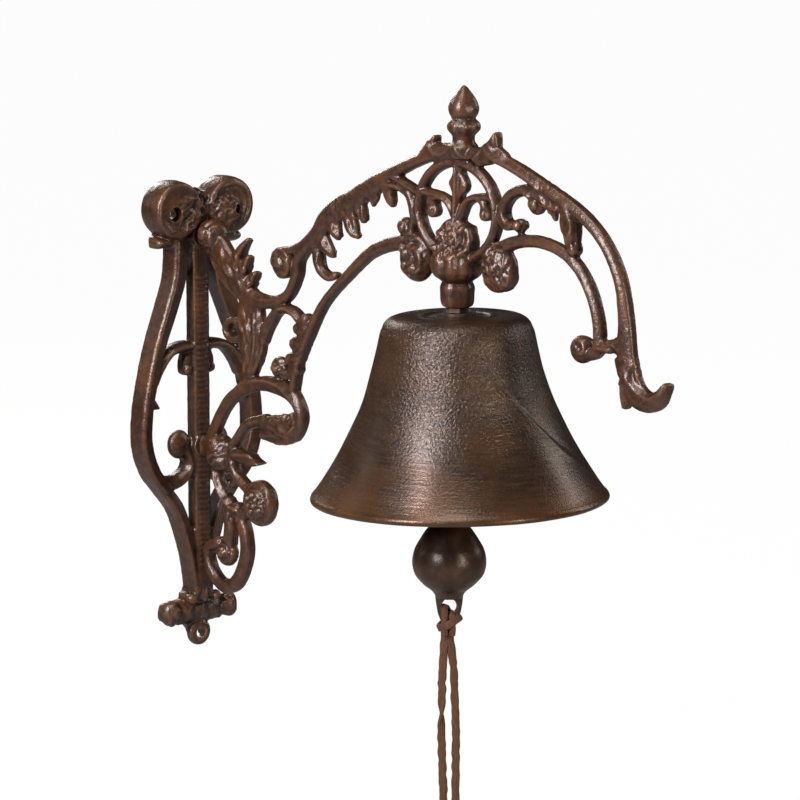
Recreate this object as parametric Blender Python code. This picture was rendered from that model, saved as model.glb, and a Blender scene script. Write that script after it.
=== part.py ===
"""Wall mounted bell: a cast wall plate, a cast openwork arm, a bell and a clapper with a leather thong.

Frame: X = 0 is the wall, +X points into the room along the arm, Y runs along the wall, +Z is up.
The origin is the middle of the foot shell's back face. Drawing points are in millimetres.
"""
import math

import bmesh
import bpy
from mathutils import Matrix, Vector

MM = 0.001
GAP = 0.3

# Driving dimensions, in millimetres
ARM_THICK = 9.0
PLATE_DEPTH = 14.5
LOWER_PLATE_DEPTH = 7.5
BAR_BACK = 5.0
BAR_FRONT = 14.0
BAR_WIDTH = 9.8
EAR_Y = 20.2
EAR_Z = 252.8
EAR_RADIUS = 17.5
EAR_DEPTH = 19.0
EAR_HOLE_Y = 23.0
EAR_HOLE_Z = 250.5
EAR_HOLE_RADIUS = 3.3
EAR_RECESS_RADIUS = 8.0
EAR_WEB = 4.0
BELL_X = 242.5
BELL_RADIUS = 85.0
RIM_Z = 107.2
CROWN_Z = 212.8
WALL = 4.5
BOSS_BOTTOM_Z = 217.6
BOLT_RADIUS = 3.0
BOLT_BORE = BOLT_RADIUS + GAP
BOLT_TOP_Z = 231.0
NUT_RADIUS = 6.2
WASHER_RADIUS = 9.0
HOOK_Y = -6.3
HOOK_Z = 190.0
LEAN_DEGREES = -1.3
LINK_RADIUS = 7.4
LINK_WIRE = 1.5
EYE_RADIUS = 6.0
EYE_WIRE = 1.7
LUG_EYE_Z = 46.0
LUG_EYE_RADIUS = 3.2
LUG_TURN = 48.0
UPPER_SCREW_Z = 236.0
LOWER_SCREW_Z = 106.0
SCREW_RADIUS = 2.5
SCREW_BORE = SCREW_RADIUS + GAP
SCREW_TIP_X = 24.0
SCREW_HEAD_RADIUS = 4.6
SCREW_HEAD_HEIGHT = 3.2
STRAP_WIDTH = 5.0
STRAP_END_Z = -170.0

# Bar sections as (side, depth) fractions: the arm's is ridged on both faces, the plate's has a flat back
ARM_SECTION = [(1, 0.1), (1, 0.9), (0, 1), (-1, 0.9), (-1, 0.1), (0, 0)]
PLATE_SECTION = [(1, 0), (1, 0.75), (0.45, 1), (-0.45, 1), (-1, 0.75), (-1, 0)]

WIRE_SECTION = [(1, 0.3), (1, 0.7), (0.4, 1), (-0.4, 1), (-1, 0.7), (-1, 0.3), (-0.4, 0), (0.4, 0)]

# Drawing planes: the arm's (x, z) sheet lies in y = 0 and the plate's (y, z) sheet in x = 0
ARM_PLANE = Matrix(((1, 0, 0, 0), (0, 0, -1, 0), (0, 1, 0, 0), (0, 0, 0, 1)))
PLATE_PLANE = Matrix(((0, 0, 1, 0), (1, 0, 0, 0), (0, 1, 0, 0), (0, 0, 0, 1)))

# The arm's scrollwork: each stroke is a row of (x, z, width) points
ARM_STROKES = {
    "arch_left": [(243, 303.5, 6.5), (222, 301.5, 6.5), (196, 292, 7), (165, 277.5, 9.5), (136, 260, 9.5),
                  (116, 242.5, 8.5), (104, 236.5, 6.5), (94, 234.5, 5)],
    "arch_right": [(243, 304.5, 6), (262, 306, 6.5), (281, 303.3, 6.5), (310, 293, 7), (341, 280, 7),
                   (360, 266.2, 6), (372.4, 247, 5.5), (377.5, 225, 6), (377.2, 204, 9.5), (383, 188.6, 11),
                   (395, 182, 9), (404.5, 184.8, 7.5), (408.8, 193.5, 2.5)],
    "crest_left": [(214, 299, 6), (221, 306.5, 7), (226, 314, 2.5)],
    "crest_right": [(262, 304, 9), (268.5, 309, 10.5), (273.5, 318, 2.5)],
    "tail_leaf": [(381, 196, 9), (379.5, 186, 8), (379, 179, 3)],
    "inner_left": [(208, 250, 9), (190, 248.3, 8.5), (170, 241, 7.2), (151, 226.8, 5.8), (129.2, 207.8, 5.2),
                   (115.2, 187.5, 5.6), (104.6, 168, 5.4), (98.7, 147, 5.8)],
    "inner_right": [(274, 251.5, 8.5), (290, 258.8, 7.4), (311, 261, 6.4), (331, 256.3, 6), (346.4, 244, 6),
                    (355.7, 225, 6), (356.2, 207, 6.8), (345, 202, 6)],
    "leg_link": [(356, 207.8, 6), (366, 209.8, 7.4), (375, 213, 8)],
    "big_lobe": [(333, 284, 9.5), (333, 273, 11.5), (337.5, 259, 6)],
    "right_leaf": [(302, 289, 7), (313, 288.5, 8), (324, 284, 7)],
    "right_leaf_tip": [(318, 288, 8), (320, 281.5, 8), (321.5, 275, 4)],
    "right_curl": [(306, 287, 5.5), (297, 289, 5), (286.5, 285, 5), (280.5, 276, 5), (283.5, 268.5, 5),
                   (291, 268.5, 4)],
    "left_curl": [(182, 281, 5.5), (192, 281.5, 5), (203, 279.2, 5), (208, 269, 5), (206.5, 257, 5)],
    "left_strut": [(190, 287, 4.5), (200, 283.5, 4.5), (212, 279.5, 4.5)],
    "leaf_a": [(121, 245, 6.5), (119.8, 233, 5.5), (122, 225.5, 5), (131, 220.7, 5), (144, 223.5, 4)],
    "leaf_b": [(126, 250, 9), (129.3, 242, 6.5), (134.4, 236.5, 2.5)],
    "leaf_c": [(133, 261, 9), (134.5, 253, 8), (137, 246, 4.5)],
    "leaf_d": [(149, 266, 10), (151.5, 257, 11), (155.5, 250.5, 6)],
    "leaf_e": [(161, 273, 9), (160, 264.5, 7.5), (160.5, 258, 3)],
    "leaf_f": [(174, 282, 8), (171.5, 275.5, 6.5), (169.2, 269.5, 3)],
    "leaf_g": [(186, 285, 5.5), (187.8, 274.5, 9.5)],
    "volute_strand": [(116, 242, 7.5), (106, 231, 6.6), (103.2, 220, 6.4), (94.5, 207.5, 6.6),
                      (78, 201.8, 7.8), (60, 203.5, 12), (45, 213.5, 18), (32, 227, 19), (20, 236, 15)],
    "upper_leaf_1": [(45, 219, 10), (51, 230, 6.5), (58.5, 237.5, 3)],
    "upper_leaf_2": [(50, 213, 10), (55, 221, 7.5), (59, 227, 3.5)],
    "upper_leaf_3": [(55, 206, 9), (61, 213, 7.5), (65.5, 218, 3.5)],
    "second_leaf": [(56, 151, 10), (60, 161, 13), (62.5, 173, 21), (61, 184, 25), (60, 197, 21)],
    "second_curl": [(54, 185.5, 5), (44, 187, 5), (38, 181.5, 5), (42.5, 176, 5), (54, 177.5, 5)],
    "hook": [(72, 178, 6.5), (77.5, 188, 7), (87, 198, 5.8), (97, 199.3, 5.5), (105.5, 195.5, 5.2),
             (113.5, 187, 5)],
    "leg_hook": [(104, 164.5, 6.5), (95, 160.5, 6.5), (87.5, 163, 6)],
    "big_scroll": [(21, 107, 10), (26.5, 120, 7.5), (41.5, 139, 7.5), (65.5, 150.8, 8.4), (89, 151.5, 9),
                   (102, 145.5, 8), (106.8, 135, 8), (99.5, 126.8, 13), (86, 124.2, 15.5), (72.5, 121, 6.5)],
    "boss_strand": [(39, 104, 6.5), (46.5, 114.5, 6), (57.5, 126, 6), (78, 129, 6.5)],
    "middle_boss": [(14 + GAP, 106, 13), (30, 106, 14), (44, 105.5, 10), (55, 105.8, 6.5), (65, 106.5, 2.5)],
    "lower_strand": [(24, 101, 8), (27, 89, 7), (36, 75.5, 7), (50, 69.5, 7.5), (64, 74, 9)],
    "lower_link": [(41, 102, 6.5), (46.5, 92, 6), (60, 83.5, 6.5)],
    "lower_loop": [(46, 72, 7), (52.6, 57.5, 6.2), (53.4, 42.3, 6.2), (45, 26, 6.2), (32, 23, 6.2),
                   (20.7, 31, 6.2), (18.3, 42.5, 6), (29, 47.5, 8)],
    "lower_strut": [(38, 75, 7.5), (39.5, 60, 8.5), (38, 48, 9)],
    "stem": [(243.5, 262, 6), (243.5, 279, 6), (244.3, 287, 11.5), (244.3, 294, 7), (244.5, 303, 5.5)],
    "stem_left": [(243, 267, 6), (237.5, 275.5, 5), (229.5, 279.3, 4.6), (213, 281, 4.6)],
    "stem_right": [(245, 267, 6), (251, 277, 4.8), (259, 281, 4.6), (272, 282, 4.6)],
    "knot_left": [(228, 279, 4), (223, 277, 6), (223.5, 270.5, 9.5)],
    "knot_right": [(262, 281, 4), (266.5, 278, 5), (267, 272, 8.5)],
}
RING_CENTRE = (243.6, 272)
RING_AXES = (32, 27.5)
RING_WIDTH = 5.4

# Rounded lumps of the arm as (x, z, x radius, z radius, y radius)
ARM_LUMPS = [
    (92, 227.3, 9.6, 9.3, 5.6), (343.6, 205.6, 8.3, 7.8, 5.4), (307.5, 281.3, 5.6, 5.6, 4.6),
    (294, 268.6, 4.4, 4.2, 4.2), (87, 163.5, 7.0, 6.8, 4.8), (104.6, 188, 6.5, 5.0, 4.3),
    (103.3, 179.6, 6.2, 4.8, 4.1), (99.5, 172, 7.0, 4.8, 3.9), (67.8, 78, 13.6, 14.2, 6.5),
    (35.5, 42.8, 9.2, 8.8, 5.2), (209, 242, 13.2, 13.8, 7.5), (200, 259, 6.6, 5.6, 5.2),
    (277.6, 243, 12.8, 13.4, 7.5), (242.5, 255, 14.3, 13.0, 9.2), (24, 236, 9.4, 8.6, 8.2),
    (30, 106, 9.0, 8.4, 8.0), (373.6, 202, 4.4, 5.2, 4.1), (377, 192, 4.4, 5.0, 4.2),
]

# The finial and the boss as (radius, height)
FINIAL_X = 247.4
FINIAL_OUTLINE = [(0, 343.5), (3.2, 339.5), (6.8, 334), (8.3, 329.5), (7.4, 325.5), (6.6, 324), (9.0, 321.5),
                  (9.2, 318.5), (6.6, 315), (6.2, 312), (8.4, 309), (7.0, 302)]
BOSS_OUTLINE = [(9.0, 252), (12.5, 246), (13.9, 241.5), (13.4, 236.5), (9.6, 232.5), (8.6, 230.5), (9.1, 226),
                (9.1, 221), (8.2, BOSS_BOTTOM_Z)]

# The plate's half strokes as (back, front, [(y, z, width), ...]); the other half is their mirror image
PLATE_STROKES = {
    "member": (0.1, PLATE_DEPTH, [(-17.2, 246, 8.5), (-15.2, 232, 7.8), (-16.9, 210, 7.8), (-24.1, 190, 7.8),
                                  (-32.1, 170, 8), (-37.9, 150, 8.2), (-42, 130, 8.6), (-42.6, 110, 8.8),
                                  (-36.9, 93, 8.8), (-27.8, 82, 8.4)]),
    "lower_member": (0.15, LOWER_PLATE_DEPTH, [(-34.4, 89, 8), (-26.6, 79.5, 8), (-17.7, 68, 8),
                                               (-10.6, 50, 8), (-5.8, 32, 8), (-3.6, 12, 7.6)]),
    "lower_branch": (2.0, 12.0, [(-33, 89, 7), (-26, 84.5, 9), (-17, 84.5, 9), (-8.5, 90.5, 8), (-7.5, 98, 7),
                                 (-12, 106, 7)]),
    "upper_branch": (2.2, 12.4, [(-35, 148, 8.5), (-29.5, 157.5, 8), (-22, 165, 6.8), (-12, 167.5, 6.8),
                                 (0, 167, 6.4)]),
    "upper_knob": (3.0, 11.0, [(-5, 167, 6), (-8, 160, 8), (-9, 153, 8)]),
    "spike": (2.5, 11.5, [(-40, 134, 11), (-33.5, 133.6, 6), (-28.8, 133, 2.5)]),
    "ledge": (0.25, 13.0, [(-29.5, 233, 8), (-8, 234.5, 7.5)]),
    "foot_lobe": (0.3, 10.5, [(0, 5.5, 16), (-12, 1, 15), (-25, 0.2, 10)]),
    "foot_curl": (0.35, 9.5, [(0, 14, 12), (-6, 13, 8.5), (-11.5, 12, 6)]),
}
PLATE_LUMPS = [(-14.8, 107.6, 8.2, 9.0, 5.0, 7.0), (-20, 0.5, 7.4, 7.4, 5.6, 6.2)]
FOOT_STROKE = [(0, 26, 12), (0, 14, 17), (0, 1, 28), (0, -10, 13)]
EYELET_Z = -12.3
EYELET_RADII = (4.0, 8.3)
EYELET_SPAN = (4.2, 9.4)

# The bell's outer profile as (radius, height)
BELL_OUTLINE = [(33, CROWN_Z), (39, 211.3), (42.5, 207.5), (44, 203), (46.4, 193), (50, 179), (55, 163),
                (61.5, 148.5), (69.4, 133.5), (77, 121), (82, 113.6), (BELL_RADIUS, 109.8)]

# The clapper's ball as (radius, height), its lug as (across, height, width), and the thong's loop round the
# lug as (half width, half depth, rise) with a band of (half thickness, half height)
BALL_OUTLINE = [(4.6, 100), (7.4, 93.6), (13.1, 87.7), (17.7, 79.6), (20.3, 74.2), (20.8, 70.4), (20.2, 66.4),
                (17.8, 62.2), (14.4, 59.3), (10.4, 56), (8.2, 52)]
LUG_OUTLINE = [(0, 52, 15), (0, 47, 14.5), (0, 43.6, 13), (0, 40.4, 7.4), (0, 32.6, 6.4)]
LUG_THICKNESS = 6.0
KNOT_Z = 35.4
KNOT_LOOP = (5.7, 5.2, 2.4)
KNOT_SECTION = (0.9, 2.3)

# The two legs of the thong as (x, y, z) points from the knot down
STRAP_LEFT = [(241.2, -8.3, 29.5), (240.4, -9.1, 3), (240.2, -9.3, -31), (241.0, -8.5, -66),
              (240.8, -8.4, -100), (240.2, -8.7, -135), (240.6, -8.3, STRAP_END_Z)]
STRAP_RIGHT = [(244.8, -4.3, 29.5), (245.0, -4.0, 3), (245.7, -3.2, -31), (245.6, -3.3, -66),
               (244.9, -3.6, -100), (245.3, -3.4, -135), (244.9, -3.6, STRAP_END_Z + 6)]

# The bell and its bolt stack lean a little towards the wall, round the middle of the crown
LEAN_PIVOT = Vector((BELL_X, 0, CROWN_Z))
LEAN = (Matrix.Translation(LEAN_PIVOT * MM) @ Matrix.Rotation(math.radians(LEAN_DEGREES), 4, "Y")
        @ Matrix.Translation(-LEAN_PIVOT * MM))


def clear_scene():
    """Remove everything that the file starts with."""
    for obj in list(bpy.data.objects):
        bpy.data.objects.remove(obj, do_unlink=True)


def new_collection(name):
    """Return a new collection in the scene."""
    collection = bpy.data.collections.new(name)
    bpy.context.scene.collection.children.link(collection)
    return collection


def material(name, color, roughness, metallic):
    """Return a Principled BSDF material."""
    result = bpy.data.materials.new(name)
    result.use_nodes = True
    shader = result.node_tree.nodes["Principled BSDF"]
    shader.inputs["Base Color"].default_value = (*color, 1.0)
    shader.inputs["Roughness"].default_value = roughness
    shader.inputs["Metallic"].default_value = metallic
    return result


def smooth_path(points, steps=4, turn=16, reach=22):
    """Return Catmull-Rom points through rows of numbers, dropping those where the path hardly turns."""
    rows = [Vector(p) for p in points]
    rows = [rows[0] * 2 - rows[1]] + rows + [rows[-1] * 2 - rows[-2]]
    dense = []
    for a, b, c, d in zip(rows, rows[1:], rows[2:], rows[3:]):
        for step in range(steps):
            t = step / steps
            dense.append(0.5 * (2 * b + (c - a) * t + (2 * a - 5 * b + 4 * c - d) * t ** 2
                                + (3 * b - a - 3 * c + d) * t ** 3))
    dense.append(rows[-2])
    kept = [dense[0]]
    heading = dense[1] - dense[0]
    for here, after in zip(dense[1:], dense[2:]):
        if heading.angle(after - here) > math.radians(turn) or (here - kept[-1]).length > reach:
            kept.append(here)
            heading = after - here
    return kept + [dense[-1]]


def sweep(bm, stations, section, low, high, plane, closed=False):
    """Loft a bar of the given section along (u, v, width) stations of a drawing plane."""
    rings = []
    count = len(stations)
    for i, (u, v, width) in enumerate(stations):
        before = stations[(i - 1) % count if closed else max(i - 1, 0)]
        after = stations[(i + 1) % count if closed else min(i + 1, count - 1)]
        along = Vector((after[0] - before[0], after[1] - before[1])).normalized()
        side = Vector((-along.y, along.x)) * width / 2
        ring = [bm.verts.new(plane @ Vector((u + side.x * s, v + side.y * s, low + (high - low) * d)) * MM)
                for s, d in section]
        rings.append(ring)
    pairs = list(zip(rings, rings[1:])) + ([(rings[-1], rings[0])] if closed else [])
    for one, two in pairs:
        for k in range(len(section)):
            nxt = (k + 1) % len(section)
            bm.faces.new((one[k], one[nxt], two[nxt], two[k]))
    if not closed:
        bm.faces.new(reversed(rings[0]))
        bm.faces.new(rings[-1])


def lump(bm, centre, radii, segments=10, rings=6):
    """Add a ball stretched to three radii."""
    matrix = Matrix.Translation(Vector(centre) * MM) @ Matrix.Diagonal((*[r * MM for r in radii], 1))
    bmesh.ops.create_uvsphere(bm, u_segments=segments, v_segments=rings, radius=1, matrix=matrix)


def drum(bm, centre, axis, radius, length, segments=24):
    """Add a cylinder that starts at `centre` and runs along `axis`."""
    turn = Vector((0, 0, 1)).rotation_difference(Vector(axis)).to_matrix().to_4x4()
    middle = Vector(centre) + Vector(axis) * length / 2
    matrix = Matrix.Translation(middle * MM) @ turn
    bmesh.ops.create_cone(bm, cap_ends=True, segments=segments, radius1=radius * MM, radius2=radius * MM,
                          depth=length * MM, matrix=matrix)


def turn_profile(bm, profile, centre, steps, closed=False):
    """Turn (radius, height) points round the vertical line at `centre`, from the top down its outer side."""
    rings = []
    for radius, height in profile:
        if radius < 1e-6:
            rings.append([bm.verts.new(Vector((centre[0], centre[1], height)) * MM)])
            continue
        ring = []
        for k in range(steps):
            angle = math.tau * k / steps
            x = centre[0] + radius * math.cos(angle)
            y = centre[1] + radius * math.sin(angle)
            ring.append(bm.verts.new(Vector((x, y, height)) * MM))
        rings.append(ring)
    pairs = list(zip(rings, rings[1:])) + ([(rings[-1], rings[0])] if closed else [])
    for upper, lower in pairs:
        for k in range(steps):
            nxt = (k + 1) % steps
            corners = [upper[k % len(upper)], lower[k % len(lower)], lower[nxt % len(lower)],
                       upper[nxt % len(upper)]]
            unique = list(dict.fromkeys(corners))
            bm.faces.new(unique)
    if not closed:
        for ring, flip in ((rings[0], False), (rings[-1], True)):
            if len(ring) > 1:
                bm.faces.new(reversed(ring) if flip else ring)


def finish_mesh(bm, name, collection, surface):
    """Turn a bmesh into an object whose faces point out."""
    bmesh.ops.recalc_face_normals(bm, faces=bm.faces)
    mesh = bpy.data.meshes.new(name)
    bm.to_mesh(mesh)
    bm.free()
    obj = bpy.data.objects.new(name, mesh)
    collection.objects.link(obj)
    if surface:
        mesh.materials.append(surface)
    mesh.shade_smooth()
    mesh.set_sharp_from_angle(angle=math.radians(40))
    return obj


def boolean(obj, operation, tool, own_overlaps=False):
    """Add a Boolean modifier that uses a hidden tool object."""
    modifier = obj.modifiers.new(operation.title(), "BOOLEAN")
    modifier.operation = operation
    modifier.solver = "EXACT"
    modifier.object = tool
    modifier.use_self = own_overlaps
    tool.hide_render = True
    tool.display_type = "WIRE"
    return modifier


def make_tube(name, points, radius, collection, surface):
    """Make a round wire through the points, with welded caps."""
    curve = bpy.data.curves.new(name, "CURVE")
    curve.dimensions = "3D"
    curve.bevel_depth = radius * MM
    curve.bevel_resolution = 2
    curve.use_fill_caps = True
    spline = curve.splines.new("POLY")
    spline.points.add(len(points) - 1)
    for point, place in zip(spline.points, points):
        point.co = (*(Vector(place) * MM), 1)
    curve.materials.append(surface)
    obj = bpy.data.objects.new(name, curve)
    collection.objects.link(obj)
    return obj


def round_loop(centre, radii, width, count):
    """Return the stations of a closed ring in a drawing plane."""
    angles = [math.tau * k / count for k in range(count)]
    return [(centre[0] + radii[0] * math.cos(a), centre[1] + radii[1] * math.sin(a), width) for a in angles]


def lean(obj):
    """Tip an object with the bell."""
    obj.matrix_world = LEAN @ obj.matrix_world


def make_arm(collection, cutters, iron):
    """The openwork arm with its finial and the boss that carries the bell."""
    bm = bmesh.new()
    for i, points in enumerate(ARM_STROKES.values()):
        half = ARM_THICK / 2 - 0.05 * (i % 7)
        sweep(bm, smooth_path(points), ARM_SECTION, -half, half, ARM_PLANE)
    ring = round_loop(RING_CENTRE, RING_AXES, RING_WIDTH, 28)
    sweep(bm, ring, ARM_SECTION, -ARM_THICK / 2 - 0.03, ARM_THICK / 2 + 0.03, ARM_PLANE, closed=True)
    for x, z, rx, rz, ry in ARM_LUMPS:
        lump(bm, (x, 0, z), (rx, ry, rz))
    arm = finish_mesh(bm, "bracket_arm", collection, iron)

    top = bmesh.new()
    turn_profile(top, FINIAL_OUTLINE, (FINIAL_X, 0), 14)
    boolean(arm, "UNION", finish_mesh(top, "finial_tool", cutters, None), own_overlaps=True)

    boss = bmesh.new()
    turn_profile(boss, BOSS_OUTLINE, (BELL_X, 0), 18)
    boolean(arm, "UNION", finish_mesh(boss, "boss_tool", cutters, None))

    holes = bmesh.new()
    drum(holes, (BELL_X, 0, BOSS_BOTTOM_Z - 2), (0, 0, 1), BOLT_BORE, BOLT_TOP_Z + 3 - BOSS_BOTTOM_Z, 16)
    bmesh.ops.transform(holes, matrix=LEAN, verts=holes.verts)
    for z in (UPPER_SCREW_Z, LOWER_SCREW_Z):
        drum(holes, (BAR_FRONT - 4, 0, z), (1, 0, 0), SCREW_BORE, SCREW_TIP_X - BAR_FRONT + 5, 12)
    boolean(arm, "DIFFERENCE", finish_mesh(holes, "arm_holes_tool", cutters, None))

    face = bmesh.new()
    bmesh.ops.create_cube(face, size=1, matrix=Matrix.Translation(Vector((BAR_FRONT + GAP - 15, 0, 150)) * MM)
                          @ Matrix.Diagonal((30 * MM, 60 * MM, 260 * MM, 1)))
    boolean(arm, "DIFFERENCE", finish_mesh(face, "arm_seat_tool", cutters, None))
    return arm


def make_wall_plate(collection, cutters, iron):
    """The lyre shaped wall casting with its ears, centre bar and foot."""
    bm = bmesh.new()
    for mirror in (1, -1):
        inset = 0.02 if mirror < 0 else 0
        for back, front, points in PLATE_STROKES.values():
            half = [(y * mirror, z, width) for y, z, width in points]
            sweep(bm, smooth_path(half), PLATE_SECTION, back + inset, front - inset, PLATE_PLANE)
        for y, z, ry, rz, rx, x in PLATE_LUMPS:
            lump(bm, (x, y * mirror, z), (rx, ry, rz))
        drum(bm, (0.05 + inset, EAR_Y * mirror, EAR_Z), (1, 0, 0), EAR_RADIUS, EAR_DEPTH - inset, 24)
    bar = [(0, 13, BAR_WIDTH), (0, 258, BAR_WIDTH)]
    sweep(bm, bar, PLATE_SECTION, BAR_BACK, BAR_FRONT - 0.02, PLATE_PLANE)
    sweep(bm, smooth_path(FOOT_STROKE), PLATE_SECTION, 0, 8.4, PLATE_PLANE)
    drum(bm, (EYELET_SPAN[0], 0, EYELET_Z), (1, 0, 0), EYELET_RADII[1], EYELET_SPAN[1] - EYELET_SPAN[0], 18)
    for z in (UPPER_SCREW_Z, LOWER_SCREW_Z):
        drum(bm, (BAR_BACK + 0.1, 0, z), (1, 0, 0), 7.4, BAR_FRONT - BAR_BACK - 0.1, 20)
    plate = finish_mesh(bm, "wall_plate", collection, iron)

    bridge = bmesh.new()
    sweep(bridge, [(-9, 252, 16), (9, 252, 16)], PLATE_SECTION, 1.5, 12.7, PLATE_PLANE)
    boolean(plate, "UNION", finish_mesh(bridge, "bridge_tool", cutters, None), own_overlaps=True)

    holes = bmesh.new()
    for side in (1, -1):
        drum(holes, (EAR_WEB, EAR_HOLE_Y * side, EAR_HOLE_Z), (1, 0, 0), EAR_RECESS_RADIUS, EAR_DEPTH, 20)
    boolean(plate, "DIFFERENCE", finish_mesh(holes, "recess_tool", cutters, None))
    bores = bmesh.new()
    for side in (1, -1):
        drum(bores, (-2, EAR_HOLE_Y * side, EAR_HOLE_Z), (1, 0, 0), EAR_HOLE_RADIUS, EAR_DEPTH / 2, 14)
    for z in (UPPER_SCREW_Z, LOWER_SCREW_Z):
        drum(bores, (-2, 0, z), (1, 0, 0), SCREW_BORE, BAR_FRONT + 6, 12)
        drum(bores, (-2, 0, z), (1, 0, 0), SCREW_HEAD_RADIUS + 0.5, BAR_BACK + 2 + GAP, 16)
    drum(bores, (0, 0, EYELET_Z), (1, 0, 0), EYELET_RADII[0], 15, 14)
    boolean(plate, "DIFFERENCE", finish_mesh(bores, "bore_tool", cutters, None), own_overlaps=True)
    return plate


def make_arm_screw(name, z, collection, steel):
    """A round headed screw from the back of the centre bar into the arm."""
    bm = bmesh.new()
    seat = BAR_BACK
    profile = [(0, SCREW_TIP_X), (SCREW_RADIUS - 0.8, SCREW_TIP_X), (SCREW_RADIUS, SCREW_TIP_X - 1),
               (SCREW_RADIUS, seat), (SCREW_HEAD_RADIUS, seat), (SCREW_HEAD_RADIUS, seat - 1.2),
               (SCREW_HEAD_RADIUS * 0.7, seat - SCREW_HEAD_HEIGHT + 0.4), (0, seat - SCREW_HEAD_HEIGHT)]
    turn_profile(bm, profile, (0, 0), 14)
    bmesh.ops.rotate(bm, verts=bm.verts, cent=(0, 0, 0), matrix=Matrix.Rotation(math.radians(90), 3, "Y"))
    bmesh.ops.translate(bm, verts=bm.verts, vec=Vector((0, 0, z)) * MM)
    return finish_mesh(bm, name, collection, steel)


def make_bell(collection, iron):
    """The cast bell, open below and bored through its crown."""
    inner = [(r - WALL, h - WALL * 0.45) for r, h in BELL_OUTLINE[2:-1]]
    lip = [(BELL_RADIUS - 0.4, RIM_Z + 0.9), (BELL_RADIUS - 2.2, RIM_Z), (BELL_RADIUS - 4.6, RIM_Z + 1.2)]
    crown_inside = [(34, CROWN_Z - WALL), (BOLT_BORE, CROWN_Z - WALL)]
    profile = [(BOLT_BORE, CROWN_Z)] + BELL_OUTLINE + lip + list(reversed(inner)) + crown_inside
    bm = bmesh.new()
    turn_profile(bm, profile, (BELL_X, 0), 32, closed=True)
    return finish_mesh(bm, "bell", collection, iron)


def make_washer(name, low, high, collection, steel):
    """A flat washer on the hook bolt."""
    bm = bmesh.new()
    profile = [(BOLT_BORE, high), (WASHER_RADIUS, high), (WASHER_RADIUS, low), (BOLT_BORE, low)]
    turn_profile(bm, profile, (BELL_X, 0), 20, closed=True)
    return finish_mesh(bm, name, collection, steel)


def make_nut(name, low, high, collection, cutters, steel):
    """A hexagon nut on the hook bolt."""
    bm = bmesh.new()
    drum(bm, (BELL_X, 0, low), (0, 0, 1), NUT_RADIUS, high - low, 6)
    nut = finish_mesh(bm, name, collection, steel)
    bore = bmesh.new()
    drum(bore, (BELL_X, 0, low - 2), (0, 0, 1), BOLT_BORE, high - low + 4, 16)
    tool = finish_mesh(bore, name + "_tool", cutters, None)
    boolean(nut, "DIFFERENCE", tool)
    lean(tool)
    return nut


def make_hook_bolt(collection, steel):
    """The threaded rod through the crown, bent to a hook below."""
    reach = -HOOK_Y
    arc = [(BELL_X, HOOK_Y + reach * math.cos(a), HOOK_Z - reach * math.sin(a))
           for a in (math.radians(20 * k) for k in range(0, 11))]
    points = [(BELL_X, 0, BOLT_TOP_Z), (BELL_X, 0, 205)] + arc
    return make_tube("hook_bolt", points, BOLT_RADIUS, collection, steel)


def make_link(collection, steel, x, z):
    """The ring that joins the hook and the clapper's eye."""
    bm = bmesh.new()
    loop = round_loop((x, z), (LINK_RADIUS, LINK_RADIUS), LINK_WIRE * 2, 20)
    sweep(bm, loop, WIRE_SECTION, -HOOK_Y - LINK_WIRE, -HOOK_Y + LINK_WIRE, ARM_PLANE, closed=True)
    return finish_mesh(bm, "clapper_link", collection, steel)


def lug_frame(x, z):
    """Return the turned frame that the clapper's lug and the thong's loop are drawn in."""
    return Matrix.Translation(Vector((x, HOOK_Y, z)) * MM) @ Matrix.Rotation(math.radians(LUG_TURN), 4, "Z")


def make_clapper(collection, cutters, iron, x, eye_z):
    """The clapper: an upper eye, a rod, the ball, a neck and a flat lug with an eye."""
    rod_top = eye_z - EYE_RADIUS + 0.6
    bm = bmesh.new()
    turn_profile(bm, [(3.2, rod_top), (3.4, 140)] + BALL_OUTLINE, (x, HOOK_Y), 20)
    body = finish_mesh(bm, "clapper", collection, iron)
    eye = bmesh.new()
    loop = round_loop((HOOK_Y, eye_z), (EYE_RADIUS, EYE_RADIUS), EYE_WIRE * 2, 16)
    sweep(eye, loop, WIRE_SECTION, x - EYE_WIRE, x + EYE_WIRE, PLATE_PLANE, closed=True)
    boolean(body, "UNION", finish_mesh(eye, "clapper_eye_tool", cutters, None))
    turn = lug_frame(x, 0)
    lug = bmesh.new()
    sweep(lug, LUG_OUTLINE, ARM_SECTION, -LUG_THICKNESS / 2, LUG_THICKNESS / 2, ARM_PLANE)
    bmesh.ops.transform(lug, matrix=turn, verts=lug.verts)
    boolean(body, "UNION", finish_mesh(lug, "lug_tool", cutters, None))
    hole = bmesh.new()
    drum(hole, (0, -10, LUG_EYE_Z), (0, 1, 0), LUG_EYE_RADIUS, 20, 12)
    bmesh.ops.transform(hole, matrix=turn, verts=hole.verts)
    boolean(body, "DIFFERENCE", finish_mesh(hole, "lug_hole_tool", cutters, None))
    return body


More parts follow.
